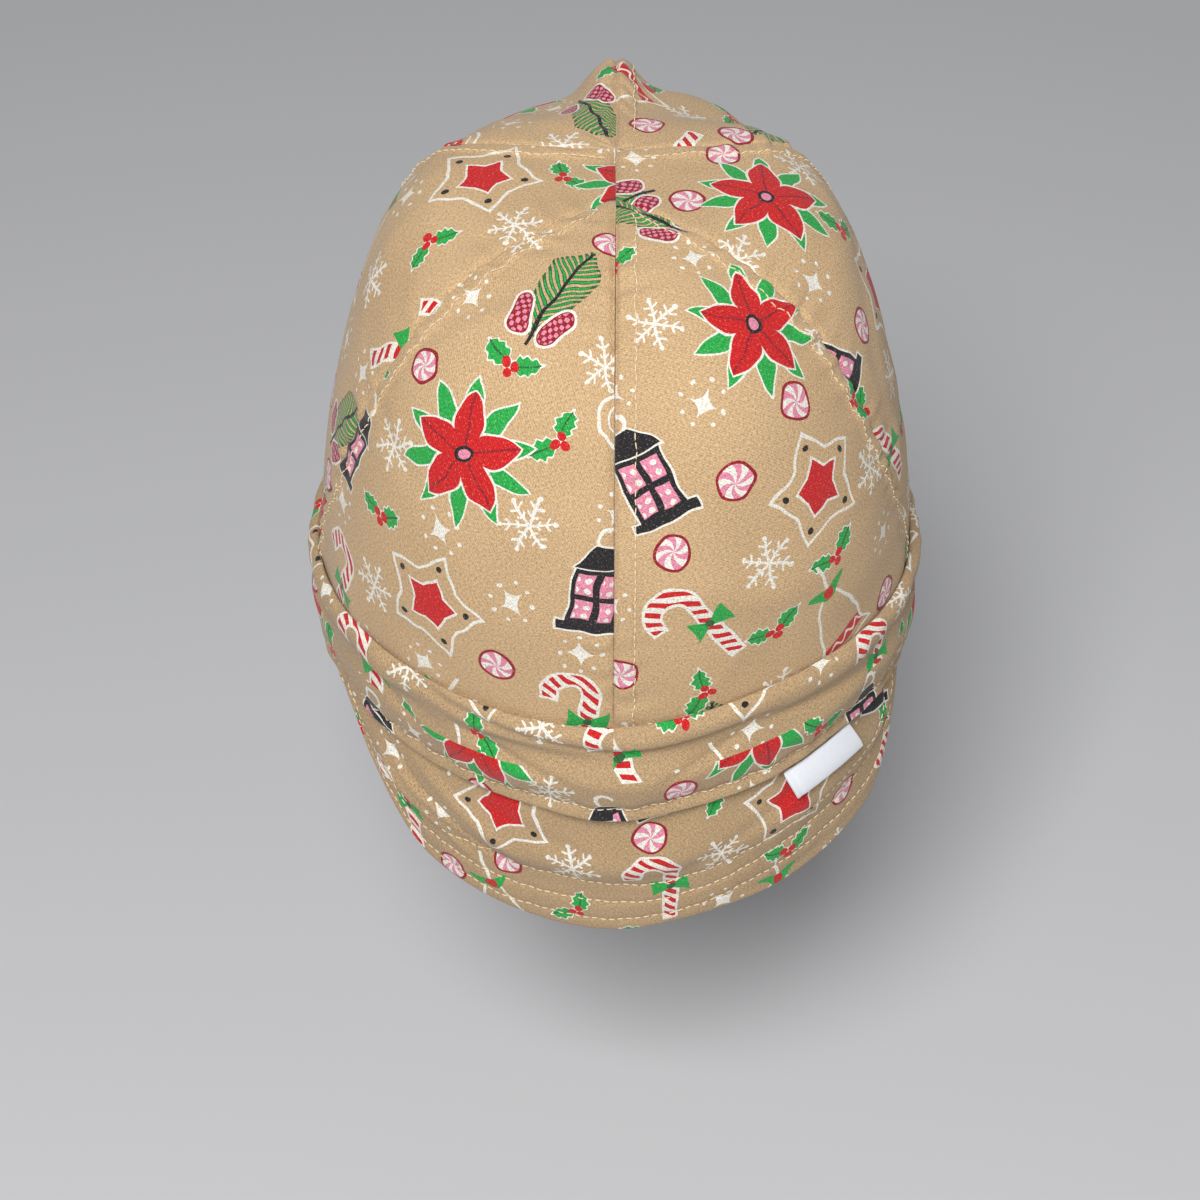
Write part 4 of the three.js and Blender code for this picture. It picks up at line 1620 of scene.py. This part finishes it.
@dataclass
class Tag:
    """The bare folded ribbon in the seam between band and peak."""

    peak: Peak
    satin: Material
    azimuth: float = 41.5
    length: float = 25.0
    drop: float = 9.2
    slant: float = 1.6
    lean: float = 2.0
    wall: float = 0.32
    bow: float = 2.2
    layers: float = 0.9
    start: float = 0.7
    roundness: tuple[float, float] = (2.6, 2.2)
    mouth: float = 0.9
    hem: float = 0.25
    columns: int = 40
    rows: int = 48

    def build(self) -> Object:
        """Makes the ribbon, folded at its lower edge, and returns it."""
        sheet = Weft("tag_ribbon", self.columns, self.rows)
        form = self.peak.form
        arc = math.degrees(self.length / (form.width / 2))
        turn = (1.0 - sheet.up) * 2.0 - 1.0
        down = (1.0 - np.abs(turn) ** self.roundness[0]) ** (1 / self.roundness[1])
        azimuth = self.azimuth + (sheet.across - 0.5) * arc + self.lean * down
        fall = self.start + self.drop * down + self.slant * (1.0 - sheet.across)
        outer = turn * self.layers / 2
        reach = self.peak.reach(azimuth)
        bow = self.bow * np.sin(np.pi * down / 1.6)
        open_end = 1.0 + self.mouth * (1.0 - smooth(0.0, 0.35, sheet.across))
        hem = self.hem * hump(sheet.across * self.length - 1.6, 0.5)
        out = form.fit + self.layers / 2 + self.wall + bow + outer * open_end * smooth(0.0, 0.3, down) - hem
        base = self.peak.place(azimuth, fall / reach)
        base = base + form.outward(azimuth) * out[..., None]
        sheet.shape(base)
        width = run_lengths(base, 1)[:, -1].mean()
        tall = run_lengths(base, 0)[-1].mean()
        sheet.map_cloth(np.stack([sheet.across * width, sheet.up * tall], axis=-1))
        piece = sheet.piece
        piece.data.materials.append(self.satin)
        finish_with(piece, "SOLIDIFY", thickness=self.wall * MM, offset=0.0)
        stand_in(piece, "tag")
        declare(piece, (width * MM, tall * MM), area_of(piece) / 2)
        return piece


@dataclass
class Studio:
    """A pale floor, soft light and the camera."""

    target: tuple[float, float, float] = (0.0, 0.0, 0.060)
    distance: float = 0.750
    elevation: float = 37.0
    lens: float = 78.75
    sensor: float = 36.0
    offset: tuple[float, float] = (14.0, 160.0)
    frame_side: float = 1200.0
    floor_level: float = -0.22
    floor_side: float = 30.0
    floor_colour: Colour = (0.59, 0.59, 0.6, 1.0)
    sky_colour: Colour = (0.86, 0.88, 0.92, 1.0)
    sky_strength: float = 0.2
    lamps: tuple[tuple[str, tuple[float, float, float], float, float], ...] = (
        ("key_lamp", (-0.22, -1.08, 1.3), 0.6, 31.5),
        ("fill_lamp", (1.3, -0.9, 0.7), 1.4, 3.0),
        ("back_lamp", (0.2, 1.5, 1.3), 1.2, 3.0),
    )

    def floor(self) -> None:
        """Lays the floor."""
        deselect()
        bpy.ops.mesh.primitive_plane_add(size=self.floor_side, location=(0.0, 0.0, self.floor_level))
        plane = bpy.context.active_object
        plane.name = "floor"
        finish = Board("pale_floor").surface({"Base Color": self.floor_colour, "Roughness": 0.95})
        plane.data.materials.append(finish)

    def lamp(self, name: str, place: tuple[float, float, float], size: float, watts: float) -> None:
        """Hangs a square soft lamp that faces the cap; place and size are in metres."""
        deselect()
        bpy.ops.object.light_add(type="AREA", location=place)
        lamp = bpy.context.active_object
        lamp.name = name
        lamp.data.shape = "SQUARE"
        lamp.data.size = size
        lamp.data.energy = watts
        aim = Vector(self.target) - Vector(place)
        lamp.rotation_euler = aim.to_track_quat("-Z", "Y").to_euler()

    def camera(self) -> None:
        """Places the camera so that the target shows at its offset from the frame's middle."""
        rise = math.radians(self.elevation)
        ahead = Vector((0.0, math.cos(rise), -math.sin(rise)))
        above = Vector((0.0, math.sin(rise), math.cos(rise)))
        focal = self.lens / self.sensor * self.frame_side
        aim = ahead - above * (self.offset[1] / focal) - Vector((1.0, 0.0, 0.0)) * (self.offset[0] / focal)
        deselect()
        bpy.ops.object.camera_add(location=Vector(self.target) - ahead * self.distance)
        camera = bpy.context.active_object
        camera.name = "camera"
        camera.data.lens = self.lens
        camera.data.sensor_width = self.sensor
        camera.data.clip_start = 0.01
        camera.rotation_euler = aim.to_track_quat("-Z", "Y").to_euler()
        bpy.context.scene.camera = camera

    def build(self) -> None:
        """Sets the whole studio."""
        self.floor()
        for name, place, size, watts in self.lamps:
            self.lamp(name, place, size, watts)
        world = bpy.data.worlds.new("studio")
        world.use_nodes = True
        sky = world.node_tree.nodes["Background"]
        sky.inputs["Color"].default_value = self.sky_colour
        sky.inputs["Strength"].default_value = self.sky_strength
        scene = bpy.context.scene
        scene.world = world
        scene.view_settings.view_transform = "Standard"
        self.camera()


def main() -> None:
    """Builds the cap and its studio in order."""
    logging.basicConfig(level=logging.INFO, format="%(name)s: %(message)s", stream=sys.stdout)
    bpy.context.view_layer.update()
    form = Form()
    cotton = PrintedCotton().material("printed_cotton")
    reverse = PrintedCotton().material("cotton_reverse", 0.16)
    # The band and the peak take the same printed cotton painted darker: painted shade for the weaker light
    # that falls on them, as the cloth itself is one.
    wear_and_shade = PrintedCotton((0.425, 0.29, 0.159, 1.0), (0.347, 0.232, 0.123, 1.0)).material("shaded_cotton")
    thread = Thread().material("sewing_thread")
    Studio().build()
    panels = Crown(form, cotton, reverse, thread).build()
    log.info("crown: %d panels", len(panels))
    Band(form, wear_and_shade, thread).build()
    peak = Peak(form, wear_and_shade, thread)
    peak.build()
    Tag(peak, Satin().material("ribbon_satin")).build()


if __name__ == "__main__":
    main()
